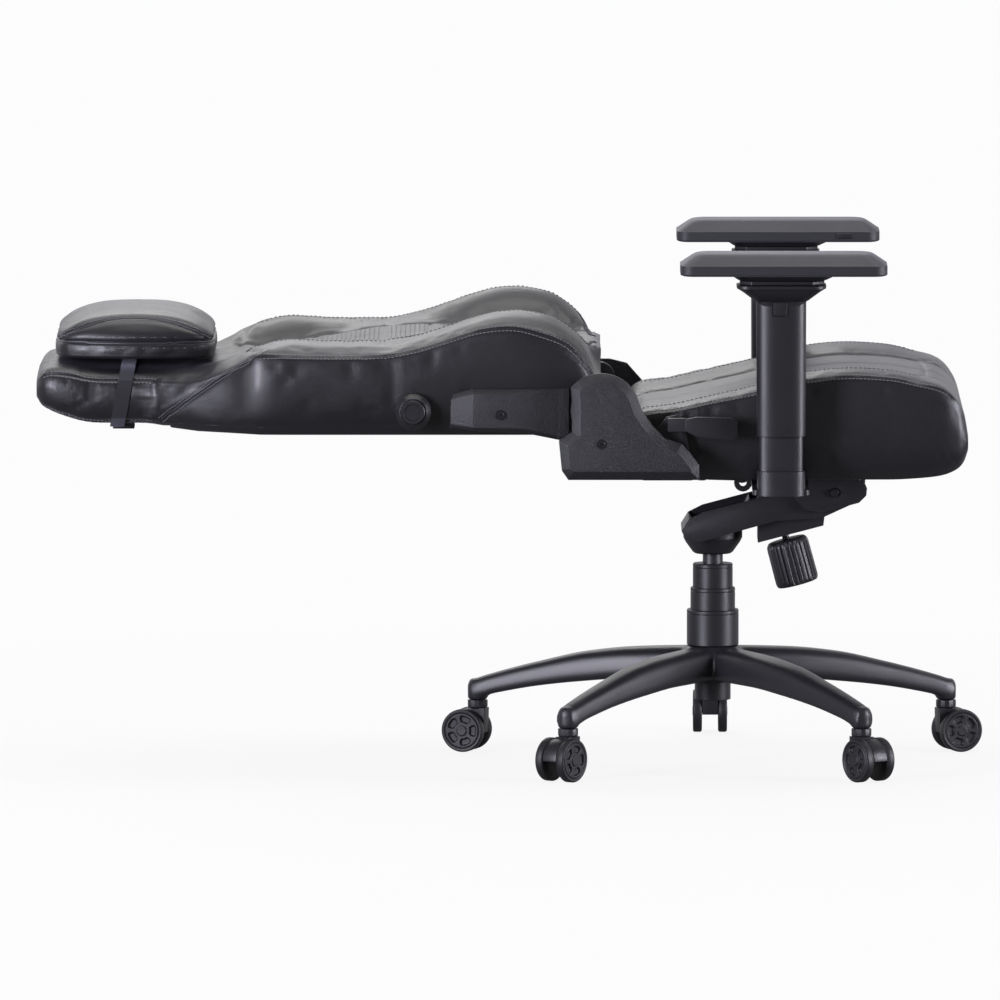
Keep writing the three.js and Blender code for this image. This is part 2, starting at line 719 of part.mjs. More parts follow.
// ---- Backrest ----
function backShell() {
  const rows = [
    [0, 0, 246, 60, 176, 66, 108],
    [8, 0, 256, 74, 182, 86, 110],
    [20, 0, 263, 96, 185, 119, 107],
    [41, 0, 267, 122, 187, 142, 104],
    [76, 0, 271, 138, 187, 162, 105],
    [125, 0, 272, 150, 188, 167.4, 109],
    [166, 0, 272, 146, 189, 160, 113],
    [208, 0, 272, 133, 188, 146, 117],
    [250, 0, 272, 120, 187, 133, 119],
    [305, 0, 272, 110, 186, 124, 116],
    [361, 0, 272, 109, 186, 123, 105],
    [437, 0, 272, 110, 188, 126, 91],
    [469, 0, 270, 111, 190, 117, 86],
    [514, 0, 240, 84, 180, 97, 85],
    [555, 0, 215, 68, 156, 82, 86],
    [607, 4, 182, 64, 130, 78, 88],
    [628, 5, 168, 66, 120, 80, 89],
    [703, 5, 168, 66, 120, 80, 89],
    [736, 12, 167, 73, 120, 84, 90],
    [763, 22, 163, 75, 115, 84, 87],
    [775, 29, 155, 70, 108, 78, 80],
    [782, 38, 142, 60, 98, 65, 67],
  ];
  return solid(loftAlongX(bucketSections(rows, {
    start: pivotX, direction: -1, length: backLength, width: backWidth, thickness: backThickness,
    bottom: backFace,
  })));
}

// A tube hoop from one hinge arm round to the other, with a cross tube near the hinge.
function backFrame(radius) {
  const along = (share) => pivotX - share * backLength;
  const tubeZ = backFace + panelThickness + frameTubeRadius + 0.6;
  const sideY = backWidth / 2 - 34;
  const half = [[0.05, sideY, 0], [0.3, sideY, 0], [0.56, sideY - 4, 0], [0.68, sideY - 54, 0],
    [0.8, 118, 4], [0.87, 90, 8], [0.885, 40, 9]];
  const points = half.map(([share, y, rise]) => new THREE.Vector3(along(share), y, tubeZ + rise));
  const mirrored = points.map((point) => new THREE.Vector3(point.x, -point.y, point.z)).reverse();
  const path = new THREE.CatmullRomCurve3([...points, ...mirrored]);
  const ring = [];
  for (let index = 0; index < 6; index += 1) {
    const angle = (Math.PI * index) / 3;
    ring.push([radius * Math.cos(angle), radius * Math.sin(angle)]);
  }
  const hoop = new THREE.ExtrudeGeometry(shapeOf(ring), {
    steps: 26, bevelEnabled: false, extrudePath: path,
  });
  const cross = rodAlongY(along(0.1), tubeZ, radius, -sideY, sideY, 8);
  return union(solid(hoop), cross);
}

function reclinePockets() {
  const top = pivotZ + hingeDiscRadius - 8;
  const rear = pivotX - armCoverLength - 7;
  const pockets = [1, -1].map((side) => sideBox(side, rear, pivotX + 9, backArmInner - 0.6, 400,
    backFace - 30, top));
  const hipUndercut = box(pivotX - 17, pivotX + 20, -400, 400, backFace - 30, pivotZ + 38);
  return union(...pockets, hipUndercut);
}

function lumbarPlate() {
  const bottom = backFace + panelThickness + 1.2;
  const half = lumbarPlateLength / 2;
  return box(lumbarPlateX - half, lumbarPlateX + half, -lumbarPlateHalf, lumbarPlateHalf, bottom, bottom + 3);
}

function addBack() {
  const shell = backShell();
  const panelTop = backFace + panelThickness;
  const panelRear = pivotX - 0.76 * backLength;
  const panelFront = pivotX - 24;
  const outside = 400;
  const panelRegion = box(panelRear, panelFront, -outside, outside, backFace - 30, panelTop);
  const foamRegion = box(panelRear - gap, panelFront + 40, -outside, outside, backFace - 31, panelTop + gap);
  const half = lumbarPlateLength / 2 + 5;
  const lumbarRoom = box(lumbarPlateX - half, lumbarPlateX + half, -lumbarPlateHalf - 5, lumbarPlateHalf + 5,
    panelTop, panelTop + lumbarTravel + 9);
  const knobBore = sideRod(-1, lumbarKnobX, lumbarKnobZ, 6 + gap, lumbarShaftInner - 2, outside, 16);
  const cushion = without(shell, foamRegion, reclinePockets(), backFrame(frameTubeRadius + 1.6), lumbarRoom,
    knobBore);
  addPart('back_cushion', cushion, leather);
  addPart('back_panel', shell.intersect(panelRegion).subtract(reclinePockets()), leather);
  addPart('back_frame', backFrame(frameTubeRadius), paintedSteel);
  addPart('lumbar_plate', lumbarPlate(), plastic);
  addPart('lumbar_knob', lumbarKnob(), plastic);
  for (const [side, label] of [[1, 'left'], [-1, 'right']]) {
    addPart(`back_arm_${label}`, backArm(side), paintedSteel);
    addPart(`back_arm_cover_${label}`, backArmCover(side), plastic);
  }
}

function lumbarKnob() {
  const inner = backWidth / 2 + 0.8;
  const disc = sideRod(-1, lumbarKnobX, lumbarKnobZ, lumbarKnobRadius, inner, inner + 16, 24);
  const cap = sideRod(-1, lumbarKnobX, lumbarKnobZ, 17, inner + 15, inner + 22, 24);
  const shaft = sideRod(-1, lumbarKnobX, lumbarKnobZ, 6, lumbarShaftInner, inner + 1, 16);
  return union(disc, cap, shaft);
}

function backArm(side) {
  const outer = backArmInner + steelThickness;
  const bar = atPivot([[0, -30], [0, 24], [-armCoverLength + 6, 20], [-armCoverLength + 6, -18]]);
  return without(union(sidePlate(bar, side, backArmInner, outer),
    sideRod(side, pivotX, pivotZ, side > 0 ? plainHubRadius : 30, backArmInner, outer, 24)),
    sideRod(side, pivotX, pivotZ, boltRadius + gap, backArmInner - 1, outer + 1));
}

function backArmCover(side) {
  const inner = backArmInner + steelThickness + 0.6;
  const end = -armCoverLength;
  const outline = [[end, -22], [end, 25], [end + 34, 32], [-43, 32], [-43, -40], [end + 34, -28]];
  const pocket = [[end + 5, -17], [end + 5, 20], [end + 36, 27], [-49, 27], [-49, -34], [end + 36, -23]];
  return without(sidePlate(atPivot(outline), side, inner, armCoverOuter),
    sidePlate(atPivot(pocket), side, inner - 1, armCoverOuter - 4),
    sideRod(side, pivotX, pivotZ, 47, inner - 1, plateOuter + 1, 28));
}

// ---- Pillow ----
function pillowOutline(scaleX, scaleY) {
  const half = [[0.5, 0.36], [0.43, 0.45], [-0.02, 0.5], [-0.43, 0.42], [-0.5, 0.33]];
  const place = ([x, y]) => [pillowX + x * pillowLength * scaleX, y * pillowWidth * scaleY];
  const upper = half.map(place);
  const lower = half.map(([x, y]) => place([x, -y])).reverse();
  return [...upper, ...lower];
}

function pillow() {
  const levels = [[0, 0.9, 0.92], [0.06, 0.97, 0.98], [0.2, 1, 1], [0.38, 0.98, 0.98], [0.62, 0.9, 0.9],
    [0.83, 0.74, 0.76], [1, 0.4, 0.46]];
  return solid(loftAlongZ(levels.map(([rise, scaleX, scaleY]) => ({
    z: pillowBase + rise * pillowHeight, outline: pillowOutline(scaleX, scaleY),
  }))));
}

// A flat band round the head end of the backrest, leaning back towards its buckle.
function pillowStrap() {
  const headHalf = (168 * backWidth) / 544;
  const crestHalf = (120 * backWidth) / 544;
  const middleHalf = (75 * backWidth) / 544;
  const shoulderHalf = headHalf - (headHalf - crestHalf) * (22 / 48);
  const low = backFace + 5;
  const seam = backFace + 66;
  const crest = backFace + 80;
  const middle = backFace + 89;
  const around = (off) => {
    const side = [[headHalf - 26, low - off], [headHalf - 7 + off, low + 11], [headHalf + off, seam - 24],
      [headHalf - 4 + off, seam + off], [shoulderHalf, crest - 3 + off], [crestHalf, crest + off],
      [middleHalf, middle + off]];
    return [...side, ...side.map(([y, z]) => [-y, z]).reverse()];
  };
  const band = (off, extra) => solid(loftAlongX([
    { x: strapX - strapWidth / 2 - extra, outline: around(off) },
    { x: strapX + strapWidth / 2 + extra, outline: around(off) },
  ]));
  return band(2.6, 0).subtract(band(1.0, 1));
}

function addPillow() {
  addPart('pillow', pillow(), leather);
  addPart('pillow_strap', pillowStrap(), webbing);
  const buckle = box(strapX - 15, strapX + 15, -110, -76, backFace - 3.5, backFace + 2);
  addPart('strap_buckle', buckle, plastic);
}

// ---- Armrests ----
function armBracket(side) {
  const outer = armSpacing / 2 + sleeveDepth / 2;
  const inner = armSpacing / 2 - sleeveDepth / 2;
  const half = collarWidth / 2;
  const plate = sideBox(side, postX - half - 6, postX + half + 6, 120, outer - 10, 396, 404.6);
  const collar = sideBox(side, postX - half, postX + half, inner, outer, 395, 430);
  const socket = sideBox(side, postX - postWidth / 2 - gap, postX + postWidth / 2 + gap,
    armSpacing / 2 - postThickness / 2 - gap, armSpacing / 2 + postThickness / 2 + gap, postFoot - gap, 431);
  return union(plate, collar).subtract(socket);
}

function armPost(side) {
  const y = (side * armSpacing) / 2;
  const outline = cutRectangle(postX, y, postWidth, postThickness, 5);
  return solid(loftAlongZ([{ z: postFoot, outline }, { z: postTop, outline }]));
}

function armSleeve(side) {
  const y = (side * armSpacing) / 2;
  const tube = loftAlongZ([
    { z: sleeveBottom, outline: cutRectangle(postX, y, sleeveWidth - 2, sleeveDepth, 7) },
    { z: funnelBottom, outline: cutRectangle(postX, y, sleeveWidth, sleeveDepth, 7) },
  ]);
  const funnel = loftAlongZ([
    { z: funnelBottom - 1, outline: cutRectangle(postX, y, sleeveWidth + 6, sleeveDepth + 4, 8) },
    { z: sleeveTop - 8, outline: cutRectangle(postX, y, funnelLength - 14, sleeveDepth + 30, 14) },
    { z: sleeveTop, outline: cutRectangle(postX, y, funnelLength, sleeveDepth + 34, 16) },
  ]);
  const bore = loftAlongZ([
    { z: sleeveBottom - 1, outline: cutRectangle(postX, y, postWidth + 2 * gap, postThickness + 2 * gap, 5) },
    { z: postTop + 47, outline: cutRectangle(postX, y, postWidth + 2 * gap, postThickness + 2 * gap, 5) },
  ]);
  const recess = buttonBlock(side, 0.4, 0);
  return without(union(solid(tube), solid(funnel)), solid(bore), recess);
}

// The button that frees the sleeve's height, in a recess on the outer face.
function buttonBlock(side, margin, rise) {
  const face = armSpacing / 2 + sleeveDepth / 2;
  const floor = face - 5.6;
  const inner = margin > 0 ? floor : floor + buttonTravel + 0.4;
  const x = postX - 1.8;
  const outer = face + (margin > 0 ? 20 : rise);
  return sideBox(side, x - buttonLength / 2 - margin, x + buttonLength / 2 + margin, inner, outer,
    buttonZ - buttonHeight / 2 - margin, buttonZ + buttonHeight / 2 + margin);
}

function swivelPlate(side) {
  const y = (side * armSpacing) / 2;
  const outline = cutRectangle(postX + 1, y, funnelLength - 7, sleeveDepth + 18, 16);
  return solid(loftAlongZ([{ z: sleeveTop + gap, outline }, { z: sleeveTop + 5.8, outline }]));
}

function padSlider(side) {
  const y = (side * armSpacing) / 2;
  const bottom = sleeveTop + 6.2;
  return solid(loftAlongZ([
    { z: bottom, outline: cutRectangle(postX + 1, y, 118, 58, 16) },
    { z: bottom + 7, outline: cutRectangle(postX + 3, y, 143, 70, 18) },
  ]));
}

const padBottom = sleeveTop + 13.6;

function armPad(side) {
  const y = (side * armSpacing) / 2;
  const plan = (length, width, cut) => cutRectangle(padX, y, length, width, 1.4 * cut, cut);
  const body = solid(loftAlongZ([
    { z: padBottom, outline: plan(padLength - 8, padWidth - 8, 16) },
    { z: padBottom + 3, outline: plan(padLength, padWidth, 18) },
    { z: padBottom + 15, outline: plan(padLength, padWidth, 18) },
    { z: padBottom + padHeight - 3, outline: plan(padLength - 44, padWidth - 36, 15) },
    { z: padBottom + padHeight, outline: plan(padLength - 66, padWidth - 58, 10) },
  ]));
  return body.subtract(padButtonBlock(side, 0.4));
}

// The button that frees the pad, on the inner edge near the front.
function padButtonBlock(side, margin) {
  const innerFace = armSpacing / 2 - padWidth / 2;
  const inner = innerFace - (margin > 0 ? 10 : 1.5);
  const outer = innerFace + (margin > 0 ? 6 : 3.6);
  return sideBox(side, padX + 82 - margin, padX + 104 + margin, inner, outer, padBottom + 5 - margin,
    padBottom + 12.5 + margin);
}

function addArmrests() {
  for (const [side, label] of [[1, 'left'], [-1, 'right']]) {
    addPart(`arm_bracket_${label}`, armBracket(side), paintedSteel);
    addPart(`arm_post_${label}`, armPost(side), paintedSteel);
    addPart(`arm_sleeve_${label}`, armSleeve(side), plastic);
    addPart(`height_button_${label}`, buttonBlock(side, 0, buttonRise), plastic);
    addPart(`swivel_plate_${label}`, swivelPlate(side), plastic);
    addPart(`pad_slider_${label}`, padSlider(side), plastic);
    addPart(`arm_pad_${label}`, armPad(side), padFoam);
    addPart(`pad_button_${label}`, padButtonBlock(side, 0), plastic);
  }
}

addPart('star_base', starBase(), paintedAluminium);
addGasLift();
addCasters();
addMechanism();
addSeat();
addBack();
addPillow();
addArmrests();

const group = new THREE.Group();
group.add(chair);

export default group;
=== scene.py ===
import json
import math

import bmesh
import bpy
import numpy as np
from mathutils import Matrix, Vector
from mathutils.bvhtree import BVHTree


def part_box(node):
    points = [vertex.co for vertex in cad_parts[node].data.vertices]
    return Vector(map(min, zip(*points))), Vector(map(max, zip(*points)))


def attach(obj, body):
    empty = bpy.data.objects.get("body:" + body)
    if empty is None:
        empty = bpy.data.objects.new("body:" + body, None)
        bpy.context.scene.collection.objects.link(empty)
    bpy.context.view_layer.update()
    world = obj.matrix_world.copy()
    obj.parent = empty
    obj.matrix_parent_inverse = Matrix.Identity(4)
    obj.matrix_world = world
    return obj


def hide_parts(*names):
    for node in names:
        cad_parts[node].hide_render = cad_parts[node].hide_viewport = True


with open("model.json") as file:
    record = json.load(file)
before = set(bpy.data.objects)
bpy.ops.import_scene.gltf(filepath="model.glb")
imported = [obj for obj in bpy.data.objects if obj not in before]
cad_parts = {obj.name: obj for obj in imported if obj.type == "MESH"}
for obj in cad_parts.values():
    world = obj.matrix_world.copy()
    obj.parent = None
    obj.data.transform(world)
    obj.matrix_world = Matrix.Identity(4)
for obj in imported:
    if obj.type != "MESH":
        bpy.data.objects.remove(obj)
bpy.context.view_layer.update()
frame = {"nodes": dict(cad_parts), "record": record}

bodyOf = {node: body for body, nodes in frame["record"]["behaviour"]["bodies"].items() for node in nodes}
pistonLow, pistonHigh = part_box("piston_rod")
liftX = (pistonLow.x + pistonHigh.x) / 2  # the lift axis, which the local places below are measured from
middleY = (pistonLow.y + pistonHigh.y) / 2
boltLow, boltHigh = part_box("pivot_bolt_left")
pivotX = (boltLow.x + boltHigh.x) / 2
pivotZ = (boltLow.z + boltHigh.z) / 2
mm = 0.001
scene = bpy.context.scene
print("frame loaded:", len(frame["nodes"]), "parts")


# Mesh helpers
def newPiece(name, points, faces):
    mesh = bpy.data.meshes.new(name)
    mesh.from_pydata([tuple(map(float, p)) for p in points], [], faces)
    mesh.validate()
    return linkPiece(name, mesh)


def linkPiece(name, mesh):
    piece = bpy.data.objects.new(name, mesh)
    scene.collection.objects.link(piece)
    return piece


def smoothShade(piece, angle=35):
    piece.data.shade_smooth()
    piece.data.set_sharp_from_angle(angle=math.radians(angle))
    return piece


def keepResult(piece):
    graph = bpy.context.evaluated_depsgraph_get()
    mesh = bpy.data.meshes.new_from_object(piece.evaluated_get(graph), depsgraph=graph)
    piece.modifiers.clear()
    if piece.type == "CURVE":
        name = piece.name
        bpy.data.objects.remove(piece)
        return linkPiece(name, mesh)
    piece.data = mesh
    return piece


def paint(piece, material):
    piece.data.materials.clear()
    piece.data.materials.append(material)
    return piece


def rideNode(piece, node):
    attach(piece, bodyOf[node])
    return piece


def standIn(piece, *nodes):
    rideNode(piece, nodes[0])
    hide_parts(*nodes)
    return piece


def loftRings(name, rings, capSteps=4):
    rings = np.asarray(rings, float)
    first, last = rings[0], rings[-1]
    shares = [1 - (step + 1) / (capSteps + 1) for step in range(capSteps)]
    start = [first.mean(0) + (first - first.mean(0)) * share for share in reversed(shares)]
    end = [last.mean(0) + (last - last.mean(0)) * share for share in shares]
    whole = np.array(start + list(rings) + end)
    count, around = whole.shape[:2]
    faces = []
    for ring in range(count - 1):
        for step in range(around):
            after = (step + 1) % around
            low, high = ring * around, (ring + 1) * around
            faces.append((low + step, low + after, high + after, high + step))
    faces.append(tuple(reversed(range(around))))
    faces.append(tuple((count - 1) * around + step for step in range(around)))
    piece = newPiece(name, whole.reshape(-1, 3), faces)
    mesh = bmesh.new()
    mesh.from_mesh(piece.data)
    bmesh.ops.recalc_face_normals(mesh, faces=mesh.faces)
    mesh.to_mesh(piece.data)
    mesh.free()
    return piece


def lathe(name, profile, centre=(0, 0, 0), segments=96, turn=None):
    rings = []
    for radius, height in profile:
        angles = np.linspace(0, 2 * math.pi, segments, endpoint=False)
        rings.append(np.stack([radius * np.cos(angles), radius * np.sin(angles),
                               np.full(segments, height)], 1) * mm)
    piece = loftRings(name, rings, 1)
    if turn is not None:
        piece.data.transform(turn.to_4x4())
    piece.data.transform(Matrix.Translation(Vector(centre)))
    return smoothShade(piece, 30)


def roundedProfile(corners, radius, steps=4):
    profile = [corners[0]]
    for before, corner, after in zip(corners, corners[1:], corners[2:]):
        back, ahead = Vector(before) - Vector(corner), Vector(after) - Vector(corner)
        reach = min(radius, back.length * 0.45, ahead.length * 0.45)
        start = Vector(corner) + back.normalized() * reach
        end = Vector(corner) + ahead.normalized() * reach
        for step in range(steps + 1):
            share = step / steps
            point = start * (1 - share) ** 2 + Vector(corner) * 2 * share * (1 - share) + end * share ** 2
            profile.append(tuple(point))
    profile.append(corners[-1])
    return profile


def blendCurve(places, values, wanted):
    places, values = np.asarray(places, float), np.asarray(values, float)
    steps, rises = np.diff(places), np.diff(values)
    slopes = rises / steps
    tangents = np.zeros(len(places))
    for index in range(1, len(places) - 1):
        if slopes[index - 1] * slopes[index] > 0:
            first = 2 * steps[index] + steps[index - 1]
            second = steps[index] + 2 * steps[index - 1]
            tangents[index] = (first + second) / (first / slopes[index - 1] + second / slopes[index])
    tangents[0], tangents[-1] = slopes[0], slopes[-1]
    cell = np.clip(np.searchsorted(places, wanted) - 1, 0, len(steps) - 1)
    share = (wanted - places[cell]) / steps[cell]
    square, cube = share ** 2, share ** 3
    return ((2 * cube - 3 * square + 1) * values[cell] + (cube - 2 * square + share) * steps[cell] * tangents[cell]
            + (3 * square - 2 * cube) * values[cell + 1] + (cube - square) * steps[cell] * tangents[cell + 1])


def splineThrough(points, count):
    points = np.asarray(points, float)
    lengths = np.concatenate([[0], np.cumsum(np.linalg.norm(np.diff(points, axis=0), axis=1))])
    before = np.vstack([2 * points[0] - points[1], points, 2 * points[-1] - points[-2]])
    wanted = np.linspace(0, lengths[-1], count)
    result = []
    for place in wanted:
        cell = min(np.searchsorted(lengths, place, side="right") - 1, len(points) - 2)
        share = (place - lengths[cell]) / (lengths[cell + 1] - lengths[cell])
        a, b, c, d = before[cell:cell + 4]
        result.append(0.5 * (2 * b + (c - a) * share + (2 * a - 5 * b + 4 * c - d) * share ** 2
                             + (3 * b - a - 3 * c + d) * share ** 3))
    return np.array(result)


def refineNode(node, material, width=1.5, angle=28, segments=3, name=None):
    mesh = frame["nodes"][node].data.copy()
    piece = linkPiece(name or node + "Skin", mesh)
    shape = bmesh.new()
    shape.from_mesh(mesh)
    bmesh.ops.remove_doubles(shape, verts=shape.verts, dist=2e-5)
    bmesh.ops.dissolve_limit(shape, angle_limit=math.radians(1), verts=shape.verts, edges=shape.edges)
    bmesh.ops.recalc_face_normals(shape, faces=shape.faces)
    shape.to_mesh(mesh)
    shape.free()
    if width:
        bevel = piece.modifiers.new("Bevel", "BEVEL")
        bevel.width = width * mm
        bevel.segments = segments
        bevel.limit_method = "ANGLE"
        bevel.angle_limit = math.radians(angle)
        bevel.use_clamp_overlap = True
        bevel.harden_normals = False
        piece = keepResult(piece)
    smoothShade(piece, 24)
    paint(piece, material)
    return standIn(piece, node)


# Shader groups
def shaderGroup(name, inputs, outputs):
    group = bpy.data.node_groups.new(name, "ShaderNodeTree")
    for label, value in inputs.items():
        group.interface.new_socket(label, in_out="INPUT", socket_type="NodeSocketFloat").default_value = value
    for label, kind in outputs.items():
        group.interface.new_socket(label, in_out="OUTPUT", socket_type="NodeSocket" + kind)
    return group, group.nodes.new("NodeGroupInput"), group.nodes.new("NodeGroupOutput")


def mathNode(tree, operation, first, second=None, third=None):
    node = tree.nodes.new("ShaderNodeMath")
    node.operation = operation
    for socket, value in zip(node.inputs, (first, second, third)):
        if value is None:
            continue
        if isinstance(value, (int, float)):
            socket.default_value = value
        else:
            tree.links.new(value, socket)
    return node.outputs[0]


def rampNode(tree, value, low, high):
    node = tree.nodes.new("ShaderNodeMapRange")
    node.inputs["From Min"].default_value = low
    node.inputs["From Max"].default_value = high
    tree.links.new(value, node.inputs["Value"])
    return node.outputs["Result"]


def textureNode(tree, kind, place, scale, detail=2.0, roughness=0.5):
    node = tree.nodes.new("ShaderNodeTex" + kind)
    tree.links.new(place, node.inputs["Vector"])
    if isinstance(scale, (int, float)):
        node.inputs["Scale"].default_value = scale
    else:
        tree.links.new(scale, node.inputs["Scale"])
    if kind == "Noise":
        node.inputs["Detail"].default_value = detail
        node.inputs["Roughness"].default_value = roughness
    return node


def leatherGrainGroup():
    group, source, result = shaderGroup("leatherGrain", {"Scale": 900.0, "Depth": 0.25, "Creases": 0.3},
                                        {"Normal": "Vector", "Valleys": "Float", "Patches": "Float"})
    links = group.links
    place = group.nodes.new("ShaderNodeTexCoord").outputs["Object"]
    bend = textureNode(group, "Noise", place, 60.0)
    mix = group.nodes.new("ShaderNodeVectorMath")
    mix.operation = "MULTIPLY_ADD"
    links.new(bend.outputs["Color"], mix.inputs[0])
    mix.inputs[1].default_value = (0.004, 0.004, 0.004)
    links.new(place, mix.inputs[2])
    cells = textureNode(group, "Voronoi", mix.outputs[0], source.outputs["Scale"])
    cells.feature = "DISTANCE_TO_EDGE"
    # Valleys: closeness to the grain's cell edges; it drives the bump, and in makeMaterial the leather's darker "low"
    # colour is put into these valleys as painted shade
    valleys = rampNode(group, cells.outputs["Distance"], 0.0, 0.22)
    broad = textureNode(group, "Noise", place, 22.0, 4.0)
    patches = textureNode(group, "Noise", place, 7.0, 3.0)
    creases = mathNode(group, "MULTIPLY", broad.outputs["Fac"], source.outputs["Creases"])
    height = mathNode(group, "ADD", valleys, mathNode(group, "MULTIPLY", creases, 8.0))
    bump = group.nodes.new("ShaderNodeBump")
    bump.inputs["Distance"].default_value = 0.00035
    links.new(source.outputs["Depth"], bump.inputs["Strength"])
    links.new(height, bump.inputs["Height"])
    links.new(bump.outputs["Normal"], result.inputs["Normal"])
    links.new(valleys, result.inputs["Valleys"])
    links.new(patches.outputs["Fac"], result.inputs["Patches"])
    return group


def mouldedGrainGroup():
    group, source, result = shaderGroup("mouldedGrain", {"Scale": 1500.0, "Depth": 0.3},
                                        {"Normal": "Vector", "Speckle": "Float", "Patches": "Float"})
    links = group.links
    place = group.nodes.new("ShaderNodeTexCoord").outputs["Object"]
    fine = textureNode(group, "Noise", place, source.outputs["Scale"], 3.0, 0.6)
    speckle = rampNode(group, fine.outputs["Fac"], 0.35, 0.68)
    patches = textureNode(group, "Noise", place, 9.0, 3.0)
    bump = group.nodes.new("ShaderNodeBump")
    bump.inputs["Distance"].default_value = 0.0003
    links.new(source.outputs["Depth"], bump.inputs["Strength"])
    links.new(speckle, bump.inputs["Height"])
    links.new(bump.outputs["Normal"], result.inputs["Normal"])
    links.new(speckle, result.inputs["Speckle"])
    links.new(patches.outputs["Fac"], result.inputs["Patches"])
    return group


def edgeWearGroup():
    group, source, result = shaderGroup("edgeWear", {"Low": 0.51, "High": 0.6}, {"Mask": "Float"})
    point = group.nodes.new("ShaderNodeNewGeometry").outputs["Pointiness"]
    ramp = group.nodes.new("ShaderNodeMapRange")
    group.links.new(point, ramp.inputs["Value"])
    group.links.new(source.outputs["Low"], ramp.inputs["From Min"])
    group.links.new(source.outputs["High"], ramp.inputs["From Max"])
    group.links.new(ramp.outputs["Result"], result.inputs["Mask"])
    return group


grainGroups = {"leather": leatherGrainGroup(), "moulded": mouldedGrainGroup()}
wearGroup = edgeWearGroup()


def makeMaterial(name, look):
    material = bpy.data.materials.new(name)
    material.use_nodes = True
    tree = material.node_tree
    shader = next(node for node in tree.nodes if node.type == "BSDF_PRINCIPLED")
    shader.inputs["Metallic"].default_value = look.get("metallic", 0.0)
    shader.inputs["Specular IOR Level"].default_value = look.get("specular", 0.5)
    shader.inputs["Sheen Weight"].default_value = look.get("sheen", 0.0)
    shader.inputs["Sheen Roughness"].default_value = look.get("sheenRoughness", 0.5)
    shader.inputs["Sheen Tint"].default_value = (*look.get("sheenTint", (0.8, 0.8, 1.0)), 1)
    shader.inputs["Coat Weight"].default_value = look.get("coat", 0.0)
    shader.inputs["Coat Roughness"].default_value = look.get("coatRoughness", 0.3)
    kind = look.get("grain")
    if kind is None:
        shader.inputs["Base Color"].default_value = (*look["colour"], 1)
        shader.inputs["Roughness"].default_value = look["roughness"]
        return material
    grain = tree.nodes.new("ShaderNodeGroup")
    grain.node_tree = grainGroups[kind]
    for label, value in look.get("grainValues", {}).items():
        grain.inputs[label].default_value = value
    # The darker "low" colour goes where this mask is low: for leather and piping it is painted shade in the grain's
    # valleys, for the moulded finishes a random speckle tone
    valleyShadeAndSpeckle = grain.outputs["Valleys" if kind == "leather" else "Speckle"]
    colour = tree.nodes.new("ShaderNodeMix")
    colour.data_type = "RGBA"
    colour.inputs[6].default_value = (*look["low"], 1)
    colour.inputs[7].default_value = (*look["colour"], 1)
    tree.links.new(valleyShadeAndSpeckle, colour.inputs["Factor"])
    final = colour.outputs[2]
    if look.get("wear"):
        wear = tree.nodes.new("ShaderNodeGroup")
        wear.node_tree = wearGroup
        edge = tree.nodes.new("ShaderNodeMix")
        edge.data_type = "RGBA"
        tree.links.new(final, edge.inputs[6])
        edge.inputs[7].default_value = (*look["wear"], 1)
        tree.links.new(wear.outputs["Mask"], edge.inputs["Factor"])
        final = edge.outputs[2]
    tree.links.new(final, shader.inputs["Base Color"])
    rough = mathNode(tree, "MULTIPLY_ADD", grain.outputs["Patches"], look.get("vary", 0.15),
                     look["roughness"] - look.get("vary", 0.15) / 2)
    tree.links.new(rough, shader.inputs["Roughness"])
    tree.links.new(grain.outputs["Normal"], shader.inputs["Normal"])
    return material


